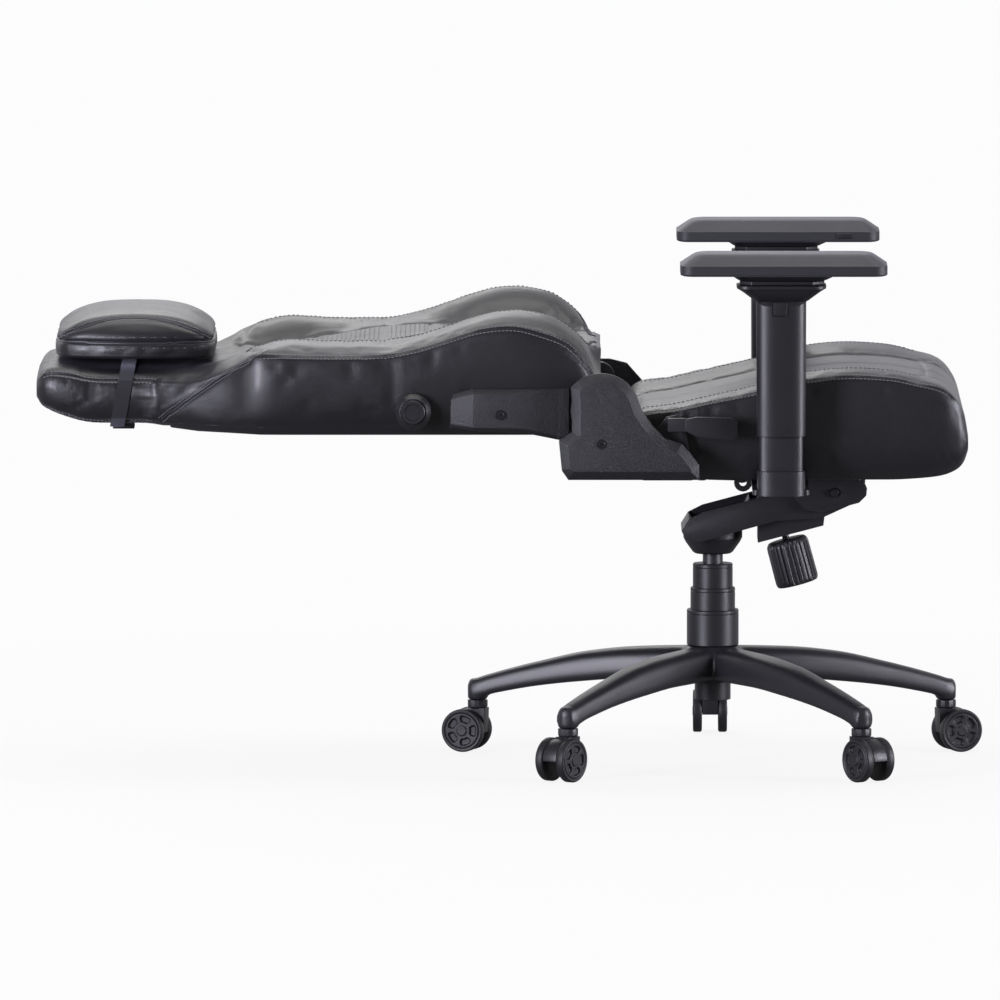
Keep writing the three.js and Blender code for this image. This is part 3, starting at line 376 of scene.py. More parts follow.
looks = {
    # leather and piping: "low" is painted shade in the grain's valleys
    "leather": {"grain": "leather", "colour": (0.0155, 0.0155, 0.0175), "low": (0.008, 0.008, 0.010),
                "roughness": 0.38, "specular": 0.5, "sheen": 0.03, "sheenRoughness": 0.4, "coat": 0.16,
                "coatRoughness": 0.22},
    "panelLeather": {"grain": "leather", "colour": (0.028, 0.028, 0.033), "low": (0.014, 0.014, 0.018),
                     "roughness": 0.42, "sheen": 0.12, "grainValues": {"Scale": 700.0, "Depth": 0.4}},
    "thread": {"colour": (0.17, 0.17, 0.18), "roughness": 0.55, "sheen": 0.2},
    "darkThread": {"colour": (0.05, 0.05, 0.055), "roughness": 0.5, "sheen": 0.2},
    "piping": {"grain": "leather", "colour": (0.04, 0.04, 0.046), "low": (0.02, 0.02, 0.024), "roughness": 0.34,
               "coat": 0.2},
    # perforation: near-black disc colour, painted shade inside the holes
    "perforation": {"colour": (0.002, 0.002, 0.002), "roughness": 0.9},
    "webbing": {"colour": (0.014, 0.014, 0.016), "roughness": 0.85, "sheen": 0.3},
    "grainedPlastic": {"grain": "moulded", "colour": (0.026, 0.026, 0.029), "low": (0.008, 0.008, 0.010),
                       "roughness": 0.36, "grainValues": {"Scale": 900.0, "Depth": 0.8}},
    "smoothPlastic": {"grain": "moulded", "colour": (0.017, 0.017, 0.020), "low": (0.012, 0.012, 0.014),
                      "roughness": 0.40, "grainValues": {"Scale": 2200.0, "Depth": 0.12}},
    "softPad": {"grain": "moulded", "colour": (0.026, 0.026, 0.030), "low": (0.018, 0.018, 0.022),
                "roughness": 0.52, "sheen": 0.1, "grainValues": {"Scale": 1800.0, "Depth": 0.2}},
    "paintedSteel": {"grain": "moulded", "colour": (0.020, 0.020, 0.023), "low": (0.013, 0.013, 0.016),
                     "roughness": 0.38, "coat": 0.1, "grainValues": {"Scale": 1600.0, "Depth": 0.25}},
    "paintedAluminium": {"grain": "moulded", "colour": (0.024, 0.024, 0.028), "low": (0.015, 0.015, 0.018),
                         "roughness": 0.36, "coat": 0.1, "grainValues": {"Scale": 1400.0, "Depth": 0.25}},
    "brightSteel": {"grain": "moulded", "colour": (0.62, 0.62, 0.64), "low": (0.55, 0.55, 0.57), "roughness": 0.25,
                    "metallic": 1.0, "grainValues": {"Scale": 3000.0, "Depth": 0.05}},
    "darkSteel": {"grain": "moulded", "colour": (0.06, 0.06, 0.065), "low": (0.04, 0.04, 0.045), "roughness": 0.3,
                  "metallic": 0.7, "grainValues": {"Scale": 3000.0, "Depth": 0.05}},
    "tyre": {"grain": "moulded", "colour": (0.016, 0.016, 0.018), "low": (0.011, 0.011, 0.013), "roughness": 0.5,
             "grainValues": {"Scale": 1800.0, "Depth": 0.15}},
    # recess: near-black colour for pieces that stand in for the shade inside holes and gaps; painted shade
    "recess": {"colour": (0.002, 0.002, 0.003), "roughness": 0.9},
}
materials = {name: makeMaterial(name, look) for name, look in looks.items()}
print("materials made:", len(materials))


# Repeated small parts, laid out by Geometry Nodes
def nodeTree(name, inputs):
    tree = bpy.data.node_groups.new(name, "GeometryNodeTree")
    tree.interface.new_socket("Geometry", in_out="INPUT", socket_type="NodeSocketGeometry")
    for label, kind in inputs.items():
        tree.interface.new_socket(label, in_out="INPUT", socket_type="NodeSocket" + kind)
    tree.interface.new_socket("Geometry", in_out="OUTPUT", socket_type="NodeSocketGeometry")
    return tree, tree.nodes.new("NodeGroupInput"), tree.nodes.new("NodeGroupOutput")


def alignNode(tree, rotation, factorVector, axis):
    node = tree.nodes.new("FunctionNodeAlignRotationToVector")
    node.axis = axis
    if rotation is not None:
        tree.links.new(rotation, node.inputs["Rotation"])
    tree.links.new(factorVector, node.inputs["Vector"])
    return node


def stitchTree():
    tree, source, result = nodeTree("stitchRow", {"Surface": "Object", "Stitch": "Object", "Pitch": "Float",
                                                  "Slant": "Float", "Lift": "Float", "Finish": "Material"})
    links = tree.links
    spaced = tree.nodes.new("GeometryNodeCurveToPoints")
    spaced.mode = "LENGTH"
    links.new(source.outputs["Geometry"], spaced.inputs["Curve"])
    links.new(source.outputs["Pitch"], spaced.inputs["Length"])
    info = tree.nodes.new("GeometryNodeObjectInfo")
    links.new(source.outputs["Surface"], info.inputs["Object"])
    near = tree.nodes.new("GeometryNodeSampleNearestSurface")
    near.data_type = "FLOAT_VECTOR"
    links.new(info.outputs["Geometry"], near.inputs["Mesh"])
    normal = tree.nodes.new("GeometryNodeInputNormal")
    links.new(normal.outputs[0], near.inputs["Value"])
    upright = alignNode(tree, None, near.outputs["Value"], "Z")
    along = alignNode(tree, upright.outputs["Rotation"], spaced.outputs["Tangent"], "X")
    along.pivot_axis = "Z"
    turn = tree.nodes.new("FunctionNodeAxisAngleToRotation")
    turn.inputs["Axis"].default_value = (0, 0, 1)
    links.new(source.outputs["Slant"], turn.inputs["Angle"])
    rotate = tree.nodes.new("FunctionNodeRotateRotation")
    rotate.rotation_space = "LOCAL"
    links.new(along.outputs["Rotation"], rotate.inputs["Rotation"])
    links.new(turn.outputs["Rotation"], rotate.inputs["Rotate By"])
    stitch = tree.nodes.new("GeometryNodeObjectInfo")
    links.new(source.outputs["Stitch"], stitch.inputs["Object"])
    lift = tree.nodes.new("ShaderNodeVectorMath")
    lift.operation = "SCALE"
    links.new(near.outputs["Value"], lift.inputs[0])
    links.new(source.outputs["Lift"], lift.inputs["Scale"])
    moved = tree.nodes.new("GeometryNodeSetPosition")
    links.new(spaced.outputs["Points"], moved.inputs["Geometry"])
    links.new(lift.outputs[0], moved.inputs["Offset"])
    place = tree.nodes.new("GeometryNodeInstanceOnPoints")
    links.new(moved.outputs[0], place.inputs["Points"])
    links.new(stitch.outputs["Geometry"], place.inputs["Instance"])
    links.new(rotate.outputs[0], place.inputs["Rotation"])
    real = tree.nodes.new("GeometryNodeRealizeInstances")
    links.new(place.outputs[0], real.inputs[0])
    finish = tree.nodes.new("GeometryNodeSetMaterial")
    links.new(real.outputs[0], finish.inputs["Geometry"])
    links.new(source.outputs["Finish"], finish.inputs["Material"])
    links.new(finish.outputs[0], result.inputs[0])
    return tree


def setInputs(modifier, tree, values):
    for item in tree.interface.items_tree:
        if item.item_type == "SOCKET" and item.in_out == "INPUT" and item.name in values:
            modifier[item.identifier] = values[item.name]


stitchRow = stitchTree()
stitchShapes = {}


def stitchShape(length, radius):
    key = (length, radius)
    if key not in stitchShapes:
        rings = []
        for along, share in ((-0.5, 0.35), (-0.42, 0.8), (-0.25, 1), (0.25, 1), (0.42, 0.8), (0.5, 0.35)):
            angles = np.linspace(0, 2 * math.pi, 6, endpoint=False)
            rings.append(np.stack([np.full(6, along * length), radius * share * np.cos(angles),
                                   radius * share * 0.8 * np.sin(angles)], 1) * mm)
        shape = loftRings(f"stitchShape{len(stitchShapes)}", rings, 0)
        shape.data.shade_smooth()
        scene.collection.objects.unlink(shape)
        stitchShapes[key] = shape
    return stitchShapes[key]


def drawCurve(name, lines):
    data = bpy.data.curves.new(name, "CURVE")
    data.dimensions = "3D"
    for line in lines:
        spline = data.splines.new("POLY")
        spline.points.add(len(line) - 1)
        for point, place in zip(spline.points, line):
            point.co = (*map(float, place), 1)
    return linkPiece(name, data)


def stitches(name, lines, surface, node, pitch=5.2, length=3.7, radius=0.62, slant=0.0, lift=0.3, finish="thread"):
    curve = drawCurve(name, lines)
    modifier = curve.modifiers.new("stitchRow", "NODES")
    modifier.node_group = stitchRow
    setInputs(modifier, stitchRow, {"Surface": surface, "Stitch": stitchShape(length, radius), "Pitch": pitch * mm,
                                    "Slant": math.radians(slant), "Lift": lift * mm, "Finish": materials[finish]})
    piece = keepResult(curve)
    paint(piece, materials[finish])
    piece.data.shade_smooth()
    return rideNode(piece, node)


def tube(name, line, radius, material, node, closed=False, sides=10):
    line = np.asarray(line, float)
    count = len(line)
    rings = []
    for index in range(count):
        before = line[(index - 1) % count] if closed or index else line[0]
        after = line[(index + 1) % count] if closed or index < count - 1 else line[-1]
        tangent = Vector(after - before).normalized()
        side = tangent.cross(Vector((0, 0, 1)))
        side = side.normalized() if side.length > 1e-4 else Vector((0, 1, 0))
        rise = side.cross(tangent)
        rings.append([Vector(line[index]) + radius * mm * (side * math.cos(a) + rise * math.sin(a))
                      for a in np.linspace(0, 2 * math.pi, sides, endpoint=False)])
    if closed:
        points = [p for ring in rings for p in ring]
        faces = [(i * sides + s, i * sides + (s + 1) % sides, (i + 1) % count * sides + (s + 1) % sides,
                  (i + 1) % count * sides + s) for i in range(count) for s in range(sides)]
        piece = newPiece(name, points, faces)
    else:
        piece = loftRings(name, np.array(rings), 0)
    piece.data.shade_smooth()
    paint(piece, material)
    return rideNode(piece, node)


# Cushions
seatShape = {
    "node": "seat_cushion", "direction": 1,
    "rows": [[0, 8, 240, 78, 190, 78, 72], [22, 1, 252, 94, 196, 94, 85], [63, 0, 255, 99, 199, 100, 91],
             [104, 0, 256, 108, 200, 109, 100], [183, 0, 257, 124, 201, 127, 117], [250, 0, 257, 140, 202, 145, 133],
             [313, 0, 257, 146, 202, 150.6, 139], [368, 0, 256, 143, 202, 147.6, 137],
             [410, 2, 255, 134, 201, 138, 130], [438, 5, 253, 128, 198, 131, 126], [459, 12, 249, 111, 194, 114, 112],
             [471, 24, 243, 88, 188, 91, 90], [476, 38, 236, 60, 180, 62, 62]],
    "spacing": 3.2, "counts": (10, 34, 46, 26), "puffs": (0, 1.5, 0.8, 1.2), "outerSeam": (0, 452),
    "innerSeam": (0, 408), "ease": 9, "trim": 5, "settle": {"pressure": 3.0, "frames": 16, "cap": 1.1},
}
backShape = {
    "node": "back_cushion", "direction": -1,
    "rows": [[0, 0, 246, 60, 176, 66, 108], [8, 0, 256, 74, 182, 86, 110], [20, 0, 263, 96, 185, 117, 107],
             [41, 0, 267, 121, 187, 139, 104], [76, 0, 271, 136, 187, 158.5, 105], [125, 0, 272, 148, 188, 163.8, 109],
             [166, 0, 272, 144, 189, 156.6, 112], [208, 0, 272, 131, 188, 142.4, 115], [250, 0, 272, 118, 187, 129.4, 117],
             [305, 0, 272, 108, 186, 120.6, 114], [361, 0, 272, 107, 186, 120, 104], [437, 0, 272, 108, 188, 123, 91],
             [469, 0, 270, 109, 190, 115, 86], [514, 0, 240, 84, 180, 97, 85], [555, 0, 215, 68, 156, 82, 86],
             [607, 4, 182, 64, 130, 78, 88], [628, 5, 168, 66, 120, 80, 89], [703, 5, 168, 66, 120, 80, 89],
             [736, 12, 167, 73, 120, 84, 90], [763, 22, 163, 75, 115, 84, 87], [775, 29, 155, 70, 108, 78, 80],
             [782, 38, 142, 60, 98, 65, 67]],
    "spacing": 3.6, "counts": (8, 34, 46, 24), "puffs": (0, 1.2, 0.4, 1.2), "outerSeam": (10, 470),
    "innerSeam": (6, 492), "ease": 16, "trim": 3, "settle": {"pressure": 3.0, "frames": 16, "cap": 1.1},
}


def easedCurve(places, values, width):
    gaps = places[:, None] - places[None, :]
    reach = np.minimum(width, 0.4 * np.minimum(places, places[-1] - places) + 0.5)[:, None]
    weights = np.exp(-(gaps / reach) ** 2)
    return (weights * values[None, :]).sum(1) / weights.sum(1)


def cushionRings(shape):
    low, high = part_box(shape["node"])
    rows = np.array(shape["rows"], float)
    length = rows[-1, 0]
    count = int(length / shape["spacing"])
    share = np.linspace(0, 1, count)
    places = length * (share - 0.06 * np.sin(2 * math.pi * share))
    values = [easedCurve(places, blendCurve(rows[:, 0], rows[:, column], places), shape["ease"])
              for column in range(1, 7)]
    stretch = (high.x - low.x - shape["trim"] * mm) / (length * mm)
    startX = low.x if shape["direction"] > 0 else high.x
    counts, puffs = shape["counts"], shape["puffs"]
    marks = np.cumsum([0, *counts])
    rings = []
    for index, place in enumerate(places):
        under, half, seam, crestAt, crest, middle = [column[index] for column in values]
        rise = seam - under
        panelAt, panelHeight = 0.62 * crestAt, middle + 0.08 * (crest - middle)
        runs = [
            [(0, under), (half - 26, under)],
            [(half - 26, under), (half - 7, under + 0.2 * rise), (half, under + 0.6 * rise), (half - 4, seam)],
            [(half - 4, seam), (half - 0.45 * (half - crestAt), seam + 0.75 * (crest - seam)), (crestAt, crest),
             (0.8 * crestAt, crest - 0.3 * (crest - middle)), (panelAt, panelHeight)],
            [(panelAt, panelHeight), (0, panelHeight)],
        ]
        edge = min(1, min(place, length - place) / 30)
        side = []
        for run, number, puff in zip(runs, counts, puffs):
            points = splineThrough(run, number + 1)
            tangent = np.gradient(points, axis=0)
            tangent /= np.linalg.norm(tangent, axis=1)[:, None]
            normal = np.stack([tangent[:, 1], -tangent[:, 0]], 1)
            swell = 1 - (2 * np.linspace(0, 1, number + 1) - 1) ** 4
            side.extend((points + normal * (swell * puff * edge)[:, None])[:-1])
        side.append((0, panelHeight + puffs[3] * edge))
        side = np.array(side)
        whole = np.vstack([side, (side * [-1, 1])[1:-1][::-1]])
        x = np.full(len(whole), startX + shape["direction"] * place * mm * stretch)
        rings.append(np.stack([x, middleY + whole[:, 0] * mm, low.z + whole[:, 1] * mm], 1))
    return np.array(rings), places, marks


def lineAlong(rings, places, column, span):
    keep = (places >= span[0]) & (places <= span[1])
    return rings[keep, column]


def easedLine(line):
    steps = np.arange(len(line), dtype=float)
    return np.stack([easedCurve(steps, line[:, axis], 4.0) for axis in range(3)], 1)


def bothSides(lines):
    return lines + [np.asarray(line) * [1, -1, 1] + [0, 2 * middleY, 0] for line in lines]


def distanceTo(points, line):
    line = np.asarray(line, float)
    best = np.full(len(points), 1e9)
    run = np.zeros(len(points))
    lengths = np.concatenate([[0], np.cumsum(np.linalg.norm(np.diff(line, axis=0), axis=1))])
    for start, end, begun in zip(line, line[1:], lengths):
        step = end - start
        size = float(step @ step) or 1e-12
        share = np.clip((points - start) @ step / size, 0, 1)
        gap = np.linalg.norm(points - start - share[:, None] * step, axis=1)
        closer = gap < best
        best[closer] = gap[closer]
        run[closer] = begun + share[closer] * math.sqrt(size)
    return best / mm, run / mm


def meshNormals(piece):
    normals = np.zeros(len(piece.data.vertices) * 3)
    piece.data.vertices.foreach_get("normal", normals)
    return normals.reshape(-1, 3)


def meshPoints(piece):
    points = np.zeros(len(piece.data.vertices) * 3)
    piece.data.vertices.foreach_get("co", points)
    return points.reshape(-1, 3)


def setPoints(piece, points):
    piece.data.vertices.foreach_set("co", points.astype(np.float32).ravel())
    piece.data.update()


def pressSeams(piece, seams):
    points, normals = meshPoints(piece), meshNormals(piece)
    move = np.zeros(len(points))
    for seam in seams:
        gap, run = distanceTo(points, seam["line"])
        near = gap < 60
        gap, run = gap[near], run[near]
        depth, width = seam.get("depth", 2.4), seam.get("width", 2.2)
        swell = seam.get("swell", 0.6) * np.exp(-((gap - 11) / 7) ** 2)
        waves = np.cos(2 * math.pi * run / seam.get("pitch", 9.5) + 1.3 * np.sin(run / 31.0))
        pucker = seam.get("pucker", 0.25) * waves * np.exp(-gap / 9) * (1 - np.exp(-gap / 2))
        move[near] += swell + pucker - depth * np.exp(-(gap / width) ** 2)
    setPoints(piece, points + normals * (move * mm)[:, None])


def offsetLine(line, surface, sideways, lift=0.0):
    tree = BVHTree.FromObject(surface, bpy.context.evaluated_depsgraph_get())
    result = []
    line = np.asarray(line, float)
    for index, place in enumerate(line):
        tangent = Vector(line[min(index + 1, len(line) - 1)] - line[max(index - 1, 0)]).normalized()
        spot, normal, _, _ = tree.find_nearest(Vector(place))
        aside = normal.cross(tangent).normalized()
        spot, normal, _, _ = tree.find_nearest(Vector(place) + aside * sideways * mm)
        result.append(spot + normal * lift * mm)
    return result


def settleCloth(name, rings, pinned, settings):
    across, around = 3, 3
    rough = np.asarray(rings)[::across, ::around]
    piece = loftRings(name + "Cloth", rough, 1)
    ringSize = rough.shape[1]
    group = piece.vertex_groups.new(name="held")
    held = np.asarray(pinned)[::across, ::around]
    total = len(piece.data.vertices)
    weights = np.ones(total)
    weights[ringSize:ringSize + held.size] = held.ravel()
    for index, weight in enumerate(weights):
        if weight > 0:
            group.add([index], float(weight), "REPLACE")
    start = meshPoints(piece)
    cloth = piece.modifiers.new("Cloth", "CLOTH")
    values = cloth.settings
    values.quality = 5
    values.mass = 0.3
    values.tension_stiffness = values.compression_stiffness = settings.get("stiffness", 12)
    values.shear_stiffness = 4
    values.bending_stiffness = settings.get("bending", 0.4)
    values.vertex_group_mass = "held"
    values.shrink_min = -0.012
    values.use_pressure = True
    values.uniform_pressure_force = settings["pressure"]
    values.effector_weights.gravity = 0
    cloth.collision_settings.use_collision = False
    cloth.collision_settings.use_self_collision = False
    cloth.point_cache.frame_start = 1
    cloth.point_cache.frame_end = settings["frames"]
    for step in range(1, settings["frames"] + 1):
        scene.frame_set(step)
    graph = bpy.context.evaluated_depsgraph_get()
    result = piece.evaluated_get(graph)
    ended = np.array([vertex.co for vertex in result.data.vertices])
    scene.frame_set(1)
    bpy.data.objects.remove(piece)
    move = (ended - start)[ringSize:ringSize + held.size].reshape(*rough.shape)
    size = np.linalg.norm(move, axis=2, keepdims=True)
    cap = settings["cap"] * mm
    move *= np.tanh(size / cap) * cap / np.maximum(size, 1e-9)
    fineRow = np.arange(len(rings)) / across
    fineColumn = np.arange(rings.shape[1]) / around
    wrapped = np.concatenate([move, move[:, :1]], axis=1)
    alongRows = np.stack([[np.interp(fineRow, np.arange(len(move)), wrapped[:, column, axis])
                           for column in range(wrapped.shape[1])] for axis in range(3)], 2)
    full = np.stack([[np.interp(fineColumn, np.arange(wrapped.shape[1]), alongRows[:, row, axis])
                      for row in range(len(rings))] for axis in range(3)], 2)
    print(name, "settled, largest move mm:", round(float(size.max() / mm), 2))
    return full


def buildCushion(shape, extraSeams):
    rings, places, marks = cushionRings(shape)
    around = rings.shape[1]
    outer, inner = marks[2], marks[3]
    held = np.zeros(rings.shape[:2])
    for column in (outer, inner):
        for offset in (-1, 0, 1):
            held[:, column + offset] = held[:, (around - column + offset) % around] = 1
    held[:, :marks[1] + 4] = held[:, -marks[1] - 4:] = 1
    held[:5] = held[-5:] = 1
    rings = rings + settleCloth(shape["node"], rings, held, shape["settle"])
    piece = loftRings(shape["node"] + "Cover", rings, 5)
    outerLines = bothSides([lineAlong(rings, places, outer, shape["outerSeam"])])
    innerLines = bothSides([lineAlong(rings, places, inner, shape["innerSeam"])])
    extra = extraSeams(piece, rings, places, marks)
    crest = np.argmax(rings[:, :around // 2, 2], axis=1)
    keep = (places >= shape["innerSeam"][0]) & (places <= shape["innerSeam"][1])
    crestLine = easedLine(rings[np.arange(len(rings)), crest][keep])
    extra += [{"line": line, "depth": 1.5, "width": 1.5, "swell": 0.3, "pucker": 0.15, "crest": True}
              for line in bothSides([crestLine])]
    seams = ([{"line": line, "depth": 2.6, "pucker": 0.35} for line in outerLines]
             + [{"line": line, "depth": 2.6, "pucker": 0.2, "swell": 0.6} for line in innerLines] + extra)
    pressSeams(piece, seams)
    piece.data.shade_smooth()
    paint(piece, materials["leather"])
    standIn(piece, shape["node"])
    return piece, outerLines, innerLines, extra


def onTop(piece, points, fromBelow=False):
    tree = BVHTree.FromObject(piece, bpy.context.evaluated_depsgraph_get())
    result = []
    for x, y in points:
        spot = tree.ray_cast(Vector((x, y, 2)), Vector((0, 0, -1)))[0]
        if spot is not None:
            result.append(spot)
    return result


def onSide(piece, points, side):
    tree = BVHTree.FromObject(piece, bpy.context.evaluated_depsgraph_get())
    result = []
    for x, z in points:
        spot = tree.ray_cast(Vector((x, middleY + side * 1, z)), Vector((0, -side, 0)))[0]
        if spot is not None:
            result.append(spot)
    return result


def denseLine(points, step=0.004):
    points = np.asarray(points, float)
    length = np.linalg.norm(np.diff(points, axis=0), axis=1).sum()
    return splineThrough(points, max(4, int(length / step)))


seatLow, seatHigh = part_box("seat_cushion")
backLow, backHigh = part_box("back_cushion")


def seatSeams(piece, rings, places, marks):
    corner = rings[np.searchsorted(places, 404), marks[3]]
    half = corner[1] - middleY
    plan = [(corner[0] - 0.004, middleY + half), (corner[0] + 0.006, middleY + 0.9 * half),
            (corner[0] + 0.012, middleY + 0.6 * half), (corner[0] + 0.014, middleY),
            (corner[0] + 0.012, middleY - 0.6 * half), (corner[0] + 0.006, middleY - 0.9 * half),
            (corner[0] - 0.004, middleY - half)]
    front = onTop(piece, denseLine(plan))
    return [{"line": front, "depth": 2.2, "pucker": 0.15, "swell": 0.8, "crossed": False}]


seatCushion, seatOuter, seatInner, seatExtra = buildCushion(seatShape, seatSeams)
print("seat cushion built")


def backSeams(piece, rings, places, marks):
    def across(distance, half):
        x = backHigh.x - distance * mm
        return onTop(piece, denseLine([(x, middleY + share * half * mm) for share in np.linspace(1, -1, 9)]))
    seams = [{"line": across(distance, 112), "depth": 1.5, "width": 1.6, "swell": 0.6, "pucker": 0.1}
             for distance in (36, 236, 299, 396)]
    for side in (1, -1):
        shoulder = [(backHigh.x - d * mm, backLow.z + h * mm)
                    for d, h in ((470, 111), (500, 92), (530, 72), (560, 50), (590, 26), (606, 12))]
        diagonal = onSide(piece, denseLine(shoulder), side)
        seams.append({"line": diagonal, "depth": 2.4, "width": 3.6, "pucker": 0.1,
                      "diagonal": True})
        fold = [(backHigh.x - d * mm, middleY + side * y * mm)
                for d, y in ((470, 246), (486, 205), (496, 160), (500, 118))]
        seams.append({"line": onTop(piece, denseLine(fold)), "depth": 3.0, "width": 3.0, "swell": 1.4})
        column = marks[2] if side > 0 else rings.shape[1] - marks[2]
        low = marks[1] + 3 if side > 0 else rings.shape[1] - marks[1] - 3
        seams.append({"line": lineAlong(rings, places, column, (616, 772)), "depth": 2.6, "head": True})
        seams.append({"line": lineAlong(rings, places, low, (616, 770)), "depth": 2.4, "head": True})
        rise = [(backHigh.x - (612 + 3 * h / 60) * mm, backLow.z + h * mm) for h in (8, 25, 45, 62)]
        seams.append({"line": onSide(piece, denseLine(rise), side), "depth": 2.2, "width": 2.0, "plain": True})
    fold = [(backHigh.x - 0.5, middleY + y * mm) for y in np.linspace(118, -118, 9)]
    seams.append({"line": onTop(piece, denseLine(fold)), "depth": 2.0, "width": 3.0, "swell": 1.0})
    return seams


backCushion, backOuter, backInner, backExtra = buildCushion(backShape, backSeams)
print("back cushion built")

for cushion, node, outer, inner, extra in ((seatCushion, "seat_cushion", seatOuter, seatInner, seatExtra),
                                           (backCushion, "back_cushion", backOuter, backInner, backExtra)):
    rows = [offsetLine(line, cushion, offset) for line in outer for offset in (-4.2, 4.2)]
    rows += [offsetLine(seam["line"], cushion, offset) for seam in extra if seam.get("diagonal") or seam.get("head")
             for offset in (-4.2, 4.2)]
    rows += [offsetLine(line, cushion, offset) for line in inner for offset in (-3.6, 3.6)]
    stitches(node + "SideStitches", rows, cushion, node)
    crossings = [offsetLine(seam["line"], cushion, 0) for seam in extra if seam.get("crest")]
    crossings += [offsetLine(seam["line"], cushion, 0) for seam in extra
                  if seam.get("crossed")]
    stitches(node + "CrossStitches", crossings, cushion, node, pitch=6.2, length=6.0, radius=0.9, slant=68, lift=1.5,
             finish="darkThread")
for index, seam in enumerate([seam for seam in backExtra if seam.get("diagonal")]):
    tube(f"shoulderPiping{index + 1}", offsetLine(seam["line"], backCushion, 0, 0.2), 1.5, materials["piping"],
         "back_cushion")
print("cushions stitched")


# Perforations of the lumbar panel, drawn as near-black discs on the cover: painted shade of the holes
def perforationTree():
    tree, source, result = nodeTree("perforations", {"Surface": "Object", "Width": "Float", "Finish": "Material"})
    links = tree.links
    info = tree.nodes.new("GeometryNodeObjectInfo")
    links.new(source.outputs["Surface"], info.inputs["Object"])
    near = tree.nodes.new("GeometryNodeSampleNearestSurface")
    near.data_type = "FLOAT_VECTOR"
    links.new(info.outputs["Geometry"], near.inputs["Mesh"])
    links.new(tree.nodes.new("GeometryNodeInputNormal").outputs[0], near.inputs["Value"])
    upright = alignNode(tree, None, near.outputs["Value"], "Z")
    disc = tree.nodes.new("GeometryNodeMeshCircle")
    disc.fill_type = "NGON"
    disc.inputs["Vertices"].default_value = 8
    links.new(mathNode(tree, "MULTIPLY", source.outputs["Width"], 0.5), disc.inputs["Radius"])
    place = tree.nodes.new("GeometryNodeInstanceOnPoints")
    links.new(source.outputs["Geometry"], place.inputs["Points"])
    links.new(disc.outputs["Mesh"], place.inputs["Instance"])
    links.new(upright.outputs["Rotation"], place.inputs["Rotation"])
    real = tree.nodes.new("GeometryNodeRealizeInstances")
    links.new(place.outputs[0], real.inputs[0])
    finish = tree.nodes.new("GeometryNodeSetMaterial")
    links.new(real.outputs[0], finish.inputs["Geometry"])
    links.new(source.outputs["Finish"], finish.inputs["Material"])
    links.new(finish.outputs[0], result.inputs[0])
    return tree


perforations = perforationTree()
holeGrid = {"rows": ((244, 291), (307, 388)), "half": 108, "pitch": 6.5, "width": 1.7}
spots = []
for start, end in holeGrid["rows"]:
    for line, distance in enumerate(np.arange(start, end + 0.1, holeGrid["pitch"])):
        shift = holeGrid["pitch"] / 2 * (line % 2)
        for y in np.arange(-holeGrid["half"] + shift, holeGrid["half"] + 0.1, holeGrid["pitch"]):
            spots.append((backHigh.x - distance * mm, middleY + y * mm))
# each hole is a flat near-black disc on the cover: painted shade of the hole
holePoints = newPiece("lumbarPerforations", [p + Vector((0, 0, 0.00015)) for p in onTop(backCushion, spots)], [])
modifier = holePoints.modifiers.new("perforations", "NODES")
modifier.node_group = perforations
setInputs(modifier, perforations, {"Surface": backCushion, "Width": holeGrid["width"] * mm,
                                   "Finish": materials["perforation"]})
paint(keepResult(holePoints), materials["perforation"])
rideNode(holePoints, "back_cushion")
print("lumbar panel perforated:", len(spots))


# Neck pillow, its strap and buckle
pillowShape = {
    "plan": ((0.5, 0.0), (0.498, 0.22), (0.487, 0.34), (0.43, 0.44), (0.25, 0.485), (-0.02, 0.5), (-0.25, 0.475),
             (-0.43, 0.42), (-0.485, 0.32), (-0.498, 0.2), (-0.5, 0.0)),
    "levels": ((0, 0.96, 0.965), (0.015, 0.985, 0.985), (0.04, 1, 1), (0.29, 1, 1), (0.33, 0.99, 0.985),
               (0.41, 0.985, 0.985), (0.4825, 0.965, 0.975), (0.635, 0.866, 0.93), (0.77, 0.70, 0.84),
               (0.861, 0.50, 0.70), (0.91, 0.32, 0.52), (0.932, 0.17, 0.32), (0.94, 0.07, 0.14)),
    "around": 168, "rings": 58, "seamRise": 0.33, "settle": {"pressure": 4.0, "frames": 16, "cap": 1.4},
}


